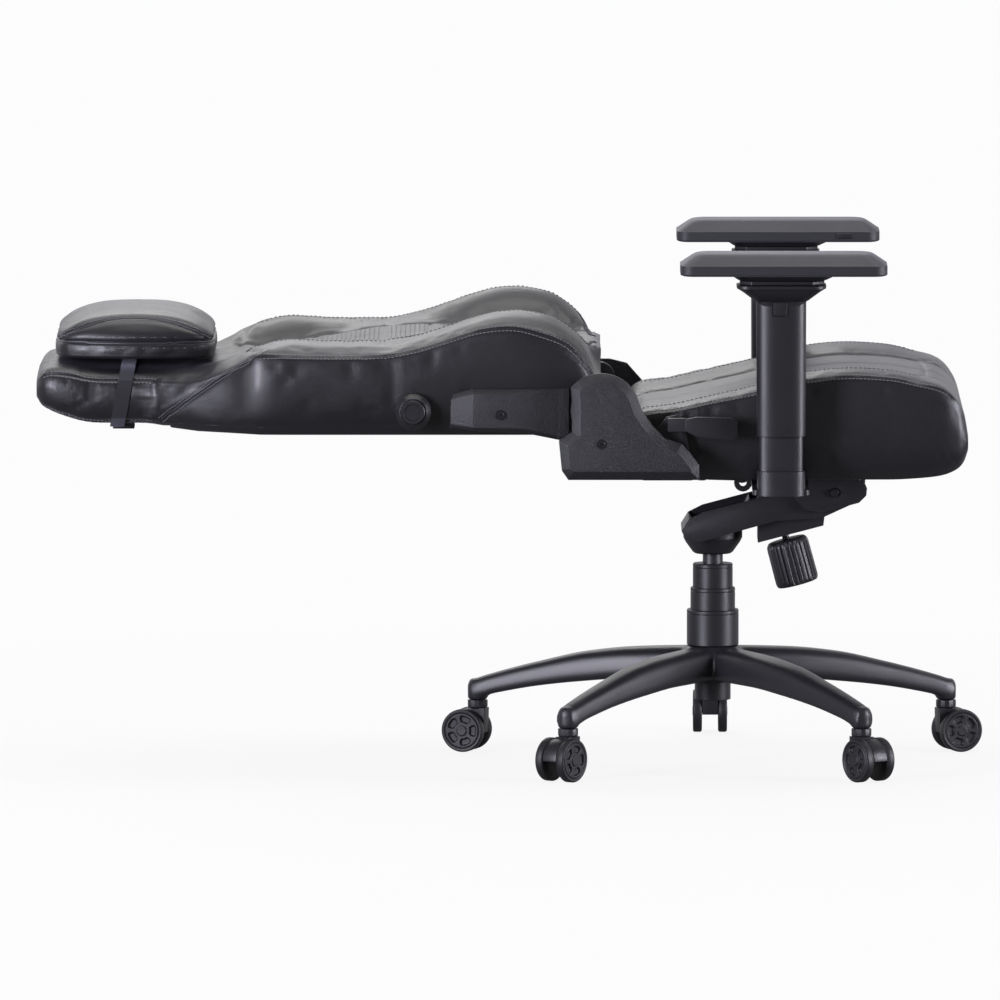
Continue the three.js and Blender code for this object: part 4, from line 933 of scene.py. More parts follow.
def buildPillow():
    low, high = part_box("pillow")
    size, centre = high - low, (high + low) / 2
    halfPlan = splineThrough(pillowShape["plan"], pillowShape["around"] // 2 + 1)
    plan = np.vstack([halfPlan, (halfPlan * [1, -1])[1:-1][::-1]])
    levels = np.array(pillowShape["levels"])
    spread = np.concatenate([[0], np.cumsum(np.hypot(np.diff(levels[:, 0]) * size.z, np.diff(levels[:, 1]) * 0.11))])
    wanted = np.linspace(0, spread[-1], pillowShape["rings"])
    rise, scaleX, scaleY = [blendCurve(spread, levels[:, column], wanted) for column in range(3)]
    rings = []
    for z, sx, sy in zip(rise, scaleX, scaleY):
        rings.append(np.stack([centre.x + plan[:, 0] * size.x * sx, centre.y + plan[:, 1] * size.y * sy,
                               np.full(len(plan), low.z + z * size.z)], 1))
    rings = np.array(rings)
    seamRing = int(np.argmin(abs(rise - pillowShape["seamRise"])))
    held = np.zeros(rings.shape[:2])
    held[:3] = 1
    held[seamRing - 1:seamRing + 2] = 1
    rings = rings + settleCloth("pillow", rings, held, pillowShape["settle"])
    piece = loftRings("pillowCover", rings, 5)
    seamLine = rings[seamRing]
    closed = np.vstack([seamLine, seamLine[:1]])
    arcs = []
    for side in (1, -1):
        arc = [(centre.x + share * size.x * 0.955 / 2, low.z + size.z * (0.36 + 0.44 * (1 - abs(share) ** 2.3)))
               for share in np.linspace(-1, 1, 41)]
        arcs.append(np.array(onSide(piece, denseLine(arc), side)))
    pressSeams(piece, [{"line": closed, "depth": 2.4, "swell": 0.8, "pucker": 0.4, "pitch": 14}]
               + [{"line": arc, "depth": 2.0, "swell": 0.8, "pucker": 0.3, "pitch": 11} for arc in arcs])
    piece.data.shade_smooth()
    paint(piece, materials["leather"])
    standIn(piece, "pillow")
    outward = np.array(offsetLine(closed, piece, 0, 0.4))
    tube("pillowPiping", outward[:-1], 1.9, materials["piping"], "pillow", closed=True)
    for index, arc in enumerate(arcs):
        tube(f"pillowArcPiping{index + 1}", offsetLine(arc, piece, 0, 0.3), 1.5, materials["piping"], "pillow")
    rows = [np.vstack([rings[seamRing + step], rings[seamRing + step][:1]]) for step in (-3, 3)]
    rows += [offsetLine(arc, piece, 5) for arc in arcs]
    stitches("pillowStitches", rows, piece, "pillow", pitch=4.8, length=3.4, radius=0.5)
    return piece


pillow = buildPillow()


def shearStrap():
    piece = refineNode("pillow_strap", materials["webbing"], 0.5)
    low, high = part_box("pillow_strap")
    points = meshPoints(piece)
    points[:, 0] += 0.19 * (points[:, 2] - (high.z + low.z) / 2)
    setPoints(piece, points)
    shape = bmesh.new()
    shape.from_mesh(piece.data)
    for _ in range(5):
        long = [edge for edge in shape.edges if edge.calc_length() > 7 * mm]
        bmesh.ops.subdivide_edges(shape, edges=long, cuts=1)
    bmesh.ops.triangulate(shape, faces=[face for face in shape.faces if len(face.verts) > 4])
    shape.normal_update()
    surface = BVHTree.FromObject(backCushion, bpy.context.evaluated_depsgraph_get())
    middle = Vector((0, middleY, (low.z + high.z) / 2))
    for vertex in shape.verts:
        spot, normal, _, _ = surface.find_nearest(vertex.co)
        outward = vertex.co - middle
        outward.x = 0
        wanted = (2.0 if vertex.normal.dot(outward) > 0 else 0.5) * mm
        above = (vertex.co - spot).dot(normal)
        if above < wanted:
            vertex.co += normal * (wanted - above)
    shape.to_mesh(piece.data)
    shape.free()
    return piece


shearStrap()
refineNode("strap_buckle", materials["smoothPlastic"], 1.2)
print("pillow built")


# Star base
baseShape = {
    "stations": ((0.0, 160, 113, 30), (0.06, 159, 113, 29), (0.34, 154, 111, 27), (0.53, 146, 105, 24),
                 (0.73, 130, 96, 20), (0.92, 112, 83, 16.5), (1.0, 103, 76, 15), (1.03, 98, 78, 12.5)),
    "firstAngle": 18, "legs": 5, "reach": 343.5, "cell": 2.2,
}


def legSection(top, bottom, half):
    height = top - bottom
    side = [(0, bottom), (0.72 * half, bottom), (0.98 * half, bottom + 0.12 * height), (half, bottom + 0.42 * height),
            (0.86 * half, top - 0.2 * height), (0.5 * half, top - 0.03 * height), (0, top)]
    half = splineThrough(side, 25)
    return np.vstack([half, (half * [-1, 1])[1:-1][::-1]])


def buildBase():
    low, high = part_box("star_base")
    stations = np.array(baseShape["stations"], float)
    wanted = np.linspace(0, stations[-1, 0], 60)
    top, bottom, half = [blendCurve(stations[:, 0], stations[:, column], wanted) for column in (1, 2, 3)]
    rings = []
    for place, t, b, h in zip(wanted, top, bottom, half):
        section = legSection(t, b, h)
        rings.append(np.stack([np.full(len(section), place * baseShape["reach"]), section[:, 0], section[:, 1]], 1) * mm)
    parts = []
    for index in range(baseShape["legs"]):
        turn = Matrix.Rotation(math.radians(baseShape["firstAngle"] + 72 * index), 4, "Z")
        leg = loftRings("leg", rings, 2)
        leg.data.transform(Matrix.Translation((liftX, middleY, 0)) @ turn)
        socket = lathe("socket", roundedProfile([(0, 72.6), (13.9, 72.6), (14.2, 93), (11, 101), (0, 103)], 2),
                       segments=48)
        socket.data.transform(Matrix.Translation((liftX, middleY, 0)) @ turn
                              @ Matrix.Translation((baseShape["reach"] * mm, 0, 0)))
        parts += [leg, socket]
    hub = lathe("hub", roundedProfile([(0, 110), (38, 110), (44, 118), (44, 152), (37, 160), (0, 160)], 3),
                (liftX, middleY, 0))
    parts.append(hub)
    base = joinPieces("starBaseCasting", parts)
    remesh = base.modifiers.new("Remesh", "REMESH")
    remesh.mode = "VOXEL"
    remesh.voxel_size = baseShape["cell"] * mm
    smooth = base.modifiers.new("Smooth", "SMOOTH")
    smooth.factor = 0.6
    smooth.iterations = 6
    base = keepResult(base)
    base.data.shade_smooth()
    paint(base, materials["paintedAluminium"])
    return standIn(base, "star_base")


def joinPieces(name, parts):
    shape = bmesh.new()
    for part in parts:
        shape.from_mesh(part.data)
        bpy.data.objects.remove(part)
    mesh = bpy.data.meshes.new(name)
    shape.to_mesh(mesh)
    shape.free()
    return linkPiece(name, mesh)


buildBase()
print("star base built")


# Casters
casterShape = {"trail": 16, "radius": 30, "inner": 11.4, "width": 12.6, "windows": 5, "hub": 7, "groove": 24.5}


def wheelSide(side):
    radius, inner, outer = casterShape["radius"], casterShape["inner"], casterShape["inner"] + casterShape["width"]
    radii = np.unique(np.concatenate([np.linspace(0, radius - 3, 64), radius - 3 + 3 * np.sin(
        np.linspace(0, math.pi / 2, 8))]))
    angles = np.linspace(0, 2 * math.pi, 150, endpoint=False)
    rings = []
    for r in radii:
        height = outer - 1.2 + 0.9 * (r / radius)
        if r > radius - 3:
            height = outer - 3 + math.sqrt(max(0, 9 - (r - radius + 3) ** 2))
        height -= 1.0 * math.exp(-((r - casterShape["groove"]) / 0.8) ** 2)
        height += 1.6 / (1 + math.exp((r - casterShape["hub"]) / 0.25))
        band = 1 / (1 + math.exp(-(r - 12) / 0.3)) / (1 + math.exp((r - 20.3) / 0.3))
        swing = ((angles * casterShape["windows"] / (2 * math.pi)) % 1 - 0.5) * 2
        span = 1 / (1 + np.exp((abs(swing) - 0.68 + 0.1 * abs(r - 16) / 4) / 0.03))
        heights = height - 3.0 * band * span
        rings.append(np.stack([r * np.cos(angles), side * heights, 30 + r * np.sin(angles)], 1) * mm)
    for height in (outer - 6, inner + 2.0, inner + 0.6):
        r = radius if height > inner + 1 else radius - 1.2
        rings.append(np.stack([r * np.cos(angles), np.full(len(angles), side * height),
                               30 + r * np.sin(angles)], 1) * mm)
    rings.append(np.stack([(radius - 2) * np.cos(angles), np.full(len(angles), side * inner),
                           30 + (radius - 2) * np.sin(angles)], 1) * mm)
    return loftRings("wheelSide", rings[1:], 1)


def buildCasters():
    for index in range(baseShape["legs"]):
        angle = math.radians(baseShape["firstAngle"] + 72 * index)
        place = (Matrix.Translation((liftX, middleY, 0)) @ Matrix.Rotation(angle, 4, "Z")
                 @ Matrix.Translation(((baseShape["reach"] + casterShape["trail"]) * mm, 0, 0)))
        axle = lathe("axle", [(0, -11.6), (3.9, -11.6), (3.9, 11.6), (0, 11.6)], segments=24,
                     turn=Matrix.Rotation(math.pi / 2, 3, "X"))
        axle.data.transform(Matrix.Translation((0, 0, 0.03)))
        wheels = joinPieces(f"casterWheels{index + 1}", [wheelSide(1), wheelSide(-1), axle])
        wheels.data.transform(place)
        smoothShade(wheels, 50)
        paint(wheels, materials["tyre"])
        standIn(wheels, f"caster_wheels_{index + 1}")
        refineNode(f"caster_hood_{index + 1}", materials["smoothPlastic"], 1.5)


buildCasters()
print("casters built")


# Gas lift
def liftCover(node, lip=2.2):
    low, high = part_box(node)
    radius = (high.x - low.x) / 2 / mm
    bottom, top = low.z / mm, high.z / mm
    wall = 2.4
    profile = [(radius - wall, bottom + 0.5), (radius - 0.8, bottom), (radius, bottom + 1.0), (radius, top - 7),
               (radius, top - 6), (radius - 0.5, top - 5.4), (radius, top - 4.8), (radius, top - 1.2),
               (radius - 1.0, top), (radius - wall, top)]
    piece = lathe(node + "Sleeve", profile, (liftX, middleY, 0), 128)
    paint(piece, materials["smoothPlastic"])
    return standIn(piece, node)


for node in ("lift_cover_lower", "lift_cover_middle", "lift_cover_upper"):
    liftCover(node)
for node, material in (("gas_cylinder", "paintedSteel"), ("piston_rod", "paintedSteel")):
    low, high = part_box(node)
    radius = (high.x - low.x) / 2 / mm
    profile = roundedProfile([(0, low.z / mm), (radius, low.z / mm), (radius, high.z / mm), (0, high.z / mm)], 1.0)
    piece = lathe(node + "Tube", profile, (liftX, middleY, 0), 96)
    paint(piece, materials[material])
    standIn(piece, node)
print("gas lift built")


# Mechanism, pan and steel parts
plainParts = {
    "tilt_pin": ("darkSteel", 1.0), "tension_spring": ("brightSteel", 0),
    "lift_lever": ("smoothPlastic", 1.2), "seat_plate": ("paintedSteel", 1.2),
    "seat_pan": ("paintedSteel", 2.0), "back_frame": ("paintedSteel", 0), "lumbar_plate": ("smoothPlastic", 0.8),
    "back_panel": ("leather", 4.0), "recline_lever": ("smoothPlastic", 2.0),
}
for side in ("left", "right"):
    plainParts.update({
        f"recliner_plate_{side}": ("paintedSteel", 0.8), f"back_arm_{side}": ("paintedSteel", 0.8),
        f"pivot_bolt_{side}": ("darkSteel", 0.8),
        f"height_button_{side}": ("smoothPlastic", 0.8), f"swivel_plate_{side}": ("smoothPlastic", 0.8),
        f"pad_slider_{side}": ("smoothPlastic", 1.2), f"pad_button_{side}": ("smoothPlastic", 0.8),
    })
for node, (material, width) in plainParts.items():
    refineNode(node, materials[material], width)
print("steel and small plastic parts built")


# Hinge covers: a wide chamfer round the outer face
def outerFaces(shape, side, reach):
    return [face for face in shape.faces
            if all(abs((vertex.co.y - middleY) * side - reach) < 0.4 * mm for vertex in face.verts)]


def coverPiece(node, side, name):
    low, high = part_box(node)
    reach = (high.y - middleY) if side > 0 else (middleY - low.y)
    mesh = frame["nodes"][node].data.copy()
    piece = linkPiece(name, mesh)
    shape = bmesh.new()
    shape.from_mesh(mesh)
    bmesh.ops.remove_doubles(shape, verts=shape.verts, dist=2e-5)
    bmesh.ops.dissolve_limit(shape, angle_limit=math.radians(1), verts=shape.verts, edges=shape.edges)
    bmesh.ops.recalc_face_normals(shape, faces=shape.faces)
    return piece, shape, reach


def finishCover(piece, shape, node, width):
    shape.to_mesh(piece.data)
    shape.free()
    bevel = piece.modifiers.new("Bevel", "BEVEL")
    bevel.width = width * mm
    bevel.segments = 3
    bevel.limit_method = "ANGLE"
    bevel.angle_limit = math.radians(16)
    piece = keepResult(piece)
    smoothShade(piece, 12)
    paint(piece, materials["grainedPlastic"])
    return standIn(piece, node)


hingeShape = {"chamfer": 12, "drop": 8}
armCoverShape = {"stations": ((-208, 16, 16, -21, -22), (-206.5, 14, 18, -19, -22.5), (-176, 2, 26, -23, -27),
                              (-103, 2, 26, -25, -30), (-60, 12, 31, -36, -39), (-58, 12, 31, -37, -39.5),
                              (-44, 14, 31, -38, -40)), "bevel": 7, "rim": 9}


def buildArmCover(side, word):
    node = f"back_arm_cover_{word}"
    low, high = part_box(node)
    outer = (high.y - middleY) * side if side > 0 else (low.y - middleY) * side
    outer = outer / mm
    inner = outer - (high.y - low.y) / mm
    bevel = armCoverShape["bevel"]
    rings = []
    for place, drop, top, lowerEdge, bottom in armCoverShape["stations"]:
        crest = min(top + 5.6, 31.8)
        outline = [(inner + 0.3, crest), (outer - armCoverShape["rim"] - drop * 0.4, crest), (outer - drop - 0.6, top - 0.6),
                   (outer - drop, top - 1.8), (outer - drop, lowerEdge + 1.8), (outer - drop - 0.6, lowerEdge + 0.6),
                   (outer - drop * 0.5 - bevel, bottom), (inner + 0.3, bottom)]
        rings.append([(pivotX + place * mm, middleY + side * y * mm, pivotZ + z * mm) for y, z in outline])
    piece = loftRings(f"backArmCover{word.title()}Shell", rings, 0)
    bevelled = piece.modifiers.new("Bevel", "BEVEL")
    bevelled.width = 0.5 * mm
    bevelled.segments = 2
    bevelled.limit_method = "ANGLE"
    bevelled.angle_limit = math.radians(14)
    piece = keepResult(piece)
    smoothShade(piece, 14)
    paint(piece, materials["grainedPlastic"])
    standIn(piece, node)


for side, word in ((1, "left"), (-1, "right")):
    node = f"hinge_cover_{word}"
    piece, shape, reach = coverPiece(node, side, f"hingeCover{word.title()}Shell")
    rim = outerFaces(shape, side, reach)
    bmesh.ops.inset_region(shape, faces=rim, thickness=hingeShape["chamfer"] * mm, depth=0, use_even_offset=True)
    kept = set(rim)
    for vertex in {vertex for vertex in shape.verts if abs((vertex.co.y - middleY) * side - reach) < 0.4 * mm}:
        if not any(face in kept for face in vertex.link_faces):
            vertex.co.y -= side * hingeShape["drop"] * mm
    finishCover(piece, shape, node, 0.9)

    buildArmCover(side, word)
print("hinge covers built")


# Arm pads
padShape = {
    "levels": ((0.0, 137, 45, 15), (0.03, 140, 48, 17), (0.09, 142, 50, 18), (0.30, 142, 50, 18), (0.455, 142, 50, 18),
               (0.475, 141.6, 49.6, 18), (0.49, 140.6, 48.9, 18), (0.70, 131.5, 41.4, 17), (0.89, 122.5, 34.2, 16),
               (0.935, 119, 31, 15), (0.96, 114, 27, 13), (0.975, 106, 20, 9)),
    "around": 36,
}


def roundRectangle(halfLength, halfWidth, radius, steps):
    points = []
    for cornerX, cornerY, start in ((1, 1, 0), (-1, 1, 90), (-1, -1, 180), (1, -1, 270)):
        for step in range(steps + 1):
            angle = math.radians(start + 90 * step / steps)
            points.append((cornerX * (halfLength - radius) + radius * math.cos(angle),
                           cornerY * (halfWidth - radius) + radius * math.sin(angle)))
    return np.array(points)


def buildPads():
    for word in ("left", "right"):
        node = f"arm_pad_{word}"
        low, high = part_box(node)
        centre, size = (low + high) / 2, high - low
        levels = np.array(padShape["levels"])
        rings = []
        index = np.linspace(0, len(levels) - 1, 67)
        steps = np.arange(len(levels))
        for rise, length, width, radius in zip(*[blendCurve(steps, levels[:, column], index) for column in range(4)]):
            plan = roundRectangle(length, min(width, length), min(radius, width - 1), 12) * mm
            rings.append(np.stack([centre.x + plan[:, 0], centre.y + plan[:, 1],
                                   np.full(len(plan), low.z + rise * size.z)], 1))
        piece = loftRings(f"armPad{word.title()}", rings, 4)
        smoothShade(piece, 40)
        paint(piece, materials["softPad"])
        standIn(piece, node)


buildPads()
print("arm pads built")


# Rounded armrest tubes, knobs and the tilt housing
armShape = {"postRadius": 11.6, "sleeveRadius": 19, "funnelBottom": 664, "lip": 5, "button": (19, 18)}


def ovalPlan(halfLength, halfWidth, power=2.5, count=64):
    angles = np.linspace(0, 2 * math.pi, count, endpoint=False)
    cosine, sine = np.cos(angles), np.sin(angles)
    return np.stack([halfLength * np.sign(cosine) * abs(cosine) ** (2 / power),
                     halfWidth * np.sign(sine) * abs(sine) ** (2 / power)], 1)


def planLoft(name, centre, levels, steps=12, oval=0):
    rings = []
    for z, halfLength, halfWidth, radius in levels:
        if oval:
            plan = ovalPlan(halfLength, halfWidth, oval) * mm
        else:
            plan = roundRectangle(halfLength, halfWidth, min(radius, halfWidth - 0.2), steps) * mm
        rings.append(np.stack([centre[0] + plan[:, 0], centre[1] + plan[:, 1], np.full(len(plan), z * mm)], 1))
    return loftRings(name, rings, 3)


def buildArms():
    for side, word in ((1, "left"), (-1, "right")):
        low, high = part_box(f"arm_post_{word}")
        centre, half = (low + high) / 2, (high - low) / 2 / mm
        levels = [(low.z / mm, half.x, half.y, armShape["postRadius"]),
                  (high.z / mm, half.x, half.y, armShape["postRadius"])]
        post = planLoft(f"armPost{word.title()}", centre, levels, oval=2.6)
        smoothShade(post, 30)
        paint(post, materials["paintedSteel"])
        standIn(post, f"arm_post_{word}")
        low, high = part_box(f"arm_sleeve_{word}")
        top, bottom, split = high.z / mm, low.z / mm, armShape["funnelBottom"]
        wide, deep = (high.x - low.x) / 2 / mm, (high.y - low.y) / 2 / mm
        halfX, halfY, radius = half.x + 4.05, half.y + 8, armShape["sleeveRadius"]
        levels = [(bottom + 0.2, halfX - 2.6, halfY - 1.6, radius), (bottom, halfX - 1.2, halfY - 0.6, radius),
                  (bottom + 0.8, halfX - 0.6, halfY - 0.1, radius), (split, halfX, halfY, radius)]
        tubePiece = planLoft("tube", centre, levels, oval=2.6)
        levels = [(split - 6, halfX - 1, halfY - 1, radius), (split, halfX + 0.4, halfY + 0.4, radius),
                  (split + 0.4, halfX + 2, halfY + 1.5, radius), (top - 9, wide - 8, deep - 3, radius),
                  (top - 4.6, wide - 1.2, deep - 0.6, radius), (top - 4.2, wide - 0.2, deep, radius),
                  (top - 0.6, wide, deep, radius), (top, wide - 0.7, deep - 0.7, radius)]
        sleeve = joinPieces(f"armSleeve{word.title()}", [tubePiece, planLoft("funnel", centre, levels)])
        smoothShade(sleeve, 30)
        paint(sleeve, materials["smoothPlastic"])
        standIn(sleeve, f"arm_sleeve_{word}")
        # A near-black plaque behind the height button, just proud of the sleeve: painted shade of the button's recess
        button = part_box(f"height_button_{word}")
        face = (button[1].y if side > 0 else button[0].y) - side * 0.9 * mm
        middle = (button[0] + button[1]) / 2
        frameX, frameZ = (button[1].x - button[0].x) / 2 / mm + 1.6, (button[1].z - button[0].z) / 2 / mm + 1.6
        rings = []
        for grow, depth in ((0, -3), (0, 0.25), (-1.0, 0.45), (-1.4, 0.1)):
            plan = roundRectangle(frameX + grow, frameZ + grow, 3, 6) * mm
            rings.append(np.stack([middle.x + plan[:, 0], np.full(len(plan), face + side * (depth - 0.2) * mm),
                                   middle.z + plan[:, 1]], 1))
        buttonShadePlaque = loftRings(f"buttonFrame{word.title()}", rings, 1)
        smoothShade(buttonShadePlaque, 30)
        paint(buttonShadePlaque, materials["recess"])
        rideNode(buttonShadePlaque, f"arm_sleeve_{word}")
        low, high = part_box(f"arm_bracket_{word}")
        collarTop = high.z / mm
        levels = [(low.z / mm, half.x + 2.2, halfY - 0.6, radius), (low.z / mm + 0.8, half.x + 2.7, halfY, radius),
                  (collarTop - 0.8, half.x + 2.7, halfY, radius), (collarTop, half.x + 2.0, halfY - 0.7, radius)]
        collar = planLoft("collar", centre, levels, oval=2.6)
        inner = 0.12
        plateLow = (low.x, middleY + side * inner if side > 0 else low.y + 0.0105, low.z + 0.0012)
        plateHigh = (high.x, high.y - 0.0105 if side > 0 else middleY - inner, low.z + 0.0092)
        plate = planLoft("plate", ((low.x + high.x) / 2, (plateLow[1] + plateHigh[1]) / 2), [
            (plateLow[2] / mm, (high.x - low.x) / 2 / mm - 0.8, abs(plateHigh[1] - plateLow[1]) / 2 / mm - 0.8, 6),
            (plateLow[2] / mm + 0.8, (high.x - low.x) / 2 / mm, abs(plateHigh[1] - plateLow[1]) / 2 / mm, 6),
            (plateHigh[2] / mm - 0.8, (high.x - low.x) / 2 / mm, abs(plateHigh[1] - plateLow[1]) / 2 / mm, 6),
            (plateHigh[2] / mm, (high.x - low.x) / 2 / mm - 0.8, abs(plateHigh[1] - plateLow[1]) / 2 / mm - 0.8, 6)])
        bracket = joinPieces(f"armBracket{word.title()}", [collar, plate])
        smoothShade(bracket, 30)
        paint(bracket, materials["paintedSteel"])
        standIn(bracket, f"arm_bracket_{word}")


def buildKnobs():
    low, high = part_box("lumbar_knob")
    centre = (low + high) / 2
    radius = (high.x - low.x) / 2 / mm
    reach = (middleY - low.y) / mm
    profile = [(6, 240), (6, reach - 22.2), (radius - 1.2, reach - 22), (radius, reach - 20.8), (radius, reach - 12),
               (radius - 0.5, reach - 10.8), (radius - 6.4, reach - 4.4), (radius - 7.2, reach - 4.2),
               (radius - 7.6, reach - 5.4), (radius - 8.4, reach - 5.2), (radius - 8.8, reach - 1.0),
               (radius - 9.8, reach), (radius - 13, reach), (radius - 13.8, reach - 1.4), (0, reach - 1.6)]
    knob = lathe("lumbarKnobTurned", profile, (centre.x, middleY, centre.z), 96, Matrix.Rotation(math.pi / 2, 3, "X"))
    paint(knob, materials["smoothPlastic"])
    standIn(knob, "lumbar_knob")
    lean = math.radians(15)
    turn = Matrix.Rotation(-lean, 3, "Y")
    top = Vector((liftX + 102 * mm, middleY, 307 * mm))
    angles = np.linspace(0, 2 * math.pi, 240, endpoint=False)
    flute = np.maximum(0, np.cos(26 * angles)) ** 1.5
    rings = []
    for share, z, depth in ((0.16, 30, 0), (0.16, 0.2, 0), (0.80, 0.2, 0), (0.87, -0.6, 0), (0.93, -3, 0.2), (0.975, -6, 0.9),
                            (0.985, -9, 1), (1.0, -56, 1), (0.99, -59, 1), (0.955, -62, 0.4), (0.9, -63.6, 0),
                            (0.84, -64, 0), (0.2, -63.4, 0)):
        reach = 30 * share - 1.9 * depth * flute
        rings.append(np.stack([reach * np.cos(angles), reach * np.sin(angles), np.full(240, z)], 1) * mm)
    piece = loftRings("tensionKnobFluted", rings, 1)
    piece.data.transform(turn.to_4x4())
    piece.data.transform(Matrix.Translation(top))
    smoothShade(piece, 30)
    paint(piece, materials["smoothPlastic"])
    standIn(piece, "tension_knob")


def buildHousing():
    piece, shape, _ = coverPiece("tilt_housing", 1, "tiltHousingCasting")
    roof = [face for face in shape.faces if face.normal.z > 0.75 and face.calc_area() > 0.002
            and face.calc_center_median().x < liftX + 70 * mm]
    print("housing roof faces:", len(roof))
    if roof:
        bmesh.ops.inset_region(shape, faces=roof, thickness=7 * mm, depth=0, use_even_offset=True)
        for vertex in {vertex for face in roof for vertex in face.verts}:
            vertex.co.z -= 9 * mm
    for vertex in shape.verts:
        across = (vertex.co.x - liftX) / mm
        if 58 < across < 158 and vertex.co.z / mm < 318 + 0.264 * (across - 62) and vertex.co.z / mm > 306:
            vertex.co.z -= 7 * mm
    shape.to_mesh(piece.data)
    shape.free()
    bevel = piece.modifiers.new("Bevel", "BEVEL")
    bevel.width = 3.2 * mm
    bevel.segments = 4
    bevel.limit_method = "ANGLE"
    bevel.angle_limit = math.radians(20)
    piece = keepResult(piece)
    smoothShade(piece, 30)
    paint(piece, materials["paintedSteel"])
    standIn(piece, "tilt_housing")


buildArms()
buildKnobs()
buildHousing()
print("arms, knobs and housing built")


# Screws
def screwTree():
    tree, source, result = nodeTree("screwSet", {"Screw": "Object", "Finish": "Material"})
    links = tree.links
    info = tree.nodes.new("GeometryNodeObjectInfo")
    links.new(source.outputs["Screw"], info.inputs["Object"])
    facing = tree.nodes.new("GeometryNodeInputNamedAttribute")
    facing.data_type = "FLOAT_VECTOR"
    facing.inputs["Name"].default_value = "facing"
    upright = alignNode(tree, None, facing.outputs["Attribute"], "Z")
    place = tree.nodes.new("GeometryNodeInstanceOnPoints")
    links.new(source.outputs["Geometry"], place.inputs["Points"])
    links.new(info.outputs["Geometry"], place.inputs["Instance"])
    links.new(upright.outputs["Rotation"], place.inputs["Rotation"])
    real = tree.nodes.new("GeometryNodeRealizeInstances")
    links.new(place.outputs[0], real.inputs[0])
    finish = tree.nodes.new("GeometryNodeSetMaterial")
    links.new(real.outputs[0], finish.inputs["Geometry"])
    links.new(source.outputs["Finish"], finish.inputs["Material"])
    links.new(finish.outputs[0], result.inputs[0])
    return tree


screwSet = screwTree()


def socketScrew(name, radius):
    angles = np.linspace(0, 2 * math.pi, 36, endpoint=False)
    rings = []
    for r, z, sides in ((radius, -0.5, 0), (radius, 1.6, 0), (radius * 0.86, 2.2, 0), (radius * 0.55, 2.25, 6),
                        (radius * 0.52, 0.4, 6)):
        reach = np.full(len(angles), r)
        if sides:
            reach = r * math.cos(math.pi / 6) / np.cos((angles % (math.pi / 3)) - math.pi / 6)
        rings.append(np.stack([reach * np.cos(angles), reach * np.sin(angles), np.full(len(angles), z)], 1) * mm)
    piece = loftRings(name, rings, 0)
    smoothShade(piece, 30)
    scene.collection.objects.unlink(piece)
    return piece


def screws(name, node, places, facing, radius, finish="darkSteel"):
    piece = newPiece(name, places, [])
    directions = piece.data.attributes.new("facing", "FLOAT_VECTOR", "POINT")
    for item in directions.data:
        item.vector = facing
    modifier = piece.modifiers.new("screwSet", "NODES")
    modifier.node_group = screwSet
    setInputs(modifier, screwSet, {"Screw": socketScrew(name + "Shape", radius), "Finish": materials[finish]})
    piece = keepResult(piece)
    paint(piece, materials[finish])
    return rideNode(piece, node)


# A near-black disc on a cover's outer face round a screw: painted shade of the screw hole
def recessShadeDisc(name, node, place, side, radius):
    turn = Matrix.Rotation(-side * math.pi / 2, 3, "X")
    ring = lathe(name, [(radius, -0.6), (radius, 0.25), (radius - 0.5, 0.45), (radius - 1.0, 0.15), (0, 0.12)], place, 48,
                 turn)
    paint(ring, materials["recess"])
    return rideNode(ring, node)


def addScrews():
    for side, word in ((1, "left"), (-1, "right")):
        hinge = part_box(f"hinge_cover_{word}")
        hingeY = (hinge[1].y if side > 0 else hinge[0].y) - side * 1.4 * mm
        outerY = hinge[1].y if side > 0 else hinge[0].y
        spots = [(pivotX + 1 * mm, pivotZ - 43 * mm)]
        # near-black discs on the hinge covers: painted shade of the screw holes
        for index, (x, z) in enumerate(spots):
            recessShadeDisc(f"hingeRecess{word.title()}{index + 1}", f"hinge_cover_{word}", (x, outerY, z), side, 7)
        screws(f"hingeScrews{word.title()}", f"hinge_cover_{word}", [(x, hingeY, z) for x, z in spots],
               (0, side, 0), 4.6)
        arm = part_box(f"back_arm_cover_{word}")
        armY = (arm[1].y if side > 0 else arm[0].y) - side * 1.6 * mm
        # near-black disc on the arm cover: painted shade of the screw hole
        recessShadeDisc(f"armCoverRecess{word.title()}", f"back_arm_cover_{word}",
                   (pivotX - 138 * mm, arm[1].y if side > 0 else arm[0].y, pivotZ - 4 * mm), side, 7)
        screws(f"armCoverScrews{word.title()}", f"back_arm_cover_{word}",
               [(pivotX - 138 * mm, armY, pivotZ - 4 * mm)], (0, side, 0), 4.6)
        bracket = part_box(f"arm_bracket_{word}")
        x0 = (bracket[0].x + bracket[1].x) / 2
        screws(f"bracketScrews{word.title()}", f"arm_bracket_{word}",
               [(x0 + dx * mm, middleY + side * 200 * mm, bracket[0].z) for dx in (-22, 22)], (0, 0, -1), 5)
    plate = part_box("seat_plate")
    screws("plateScrews", "seat_plate",
           [(plate[0].x + dx, middleY + y, plate[1].z - 6 * mm) for dx in (0.014, 0.229) for y in (-0.08, 0.08)],
           (0, 0, -1), 6)


addScrews()
print("screws placed")

# Studio
studio = {"distance": 28.0, "height": 2.992, "aimX": -0.0146, "aimZ": 0.3617, "lens": 725.8,
          "background": (0.975, 0.975, 0.98), "surround": 0.15, "backdrop": 0.78, "floor": 0.86, "glow": 0.9,
          "tint": (0.96, 0.955, 1.0)}


def softLight(name, place, aim, size, power, colour=(1, 1, 1)):
    data = bpy.data.lights.new(name, "AREA")
    data.shape = "RECTANGLE"
    data.size, data.size_y = size
    data.energy = power
    data.color = colour
    light = bpy.data.objects.new(name, data)
    scene.collection.objects.link(light)
    light.location = place
    light.rotation_mode = "QUATERNION"
    light.rotation_quaternion = (Vector(aim) - Vector(place)).to_track_quat("-Z", "Y")
    return light


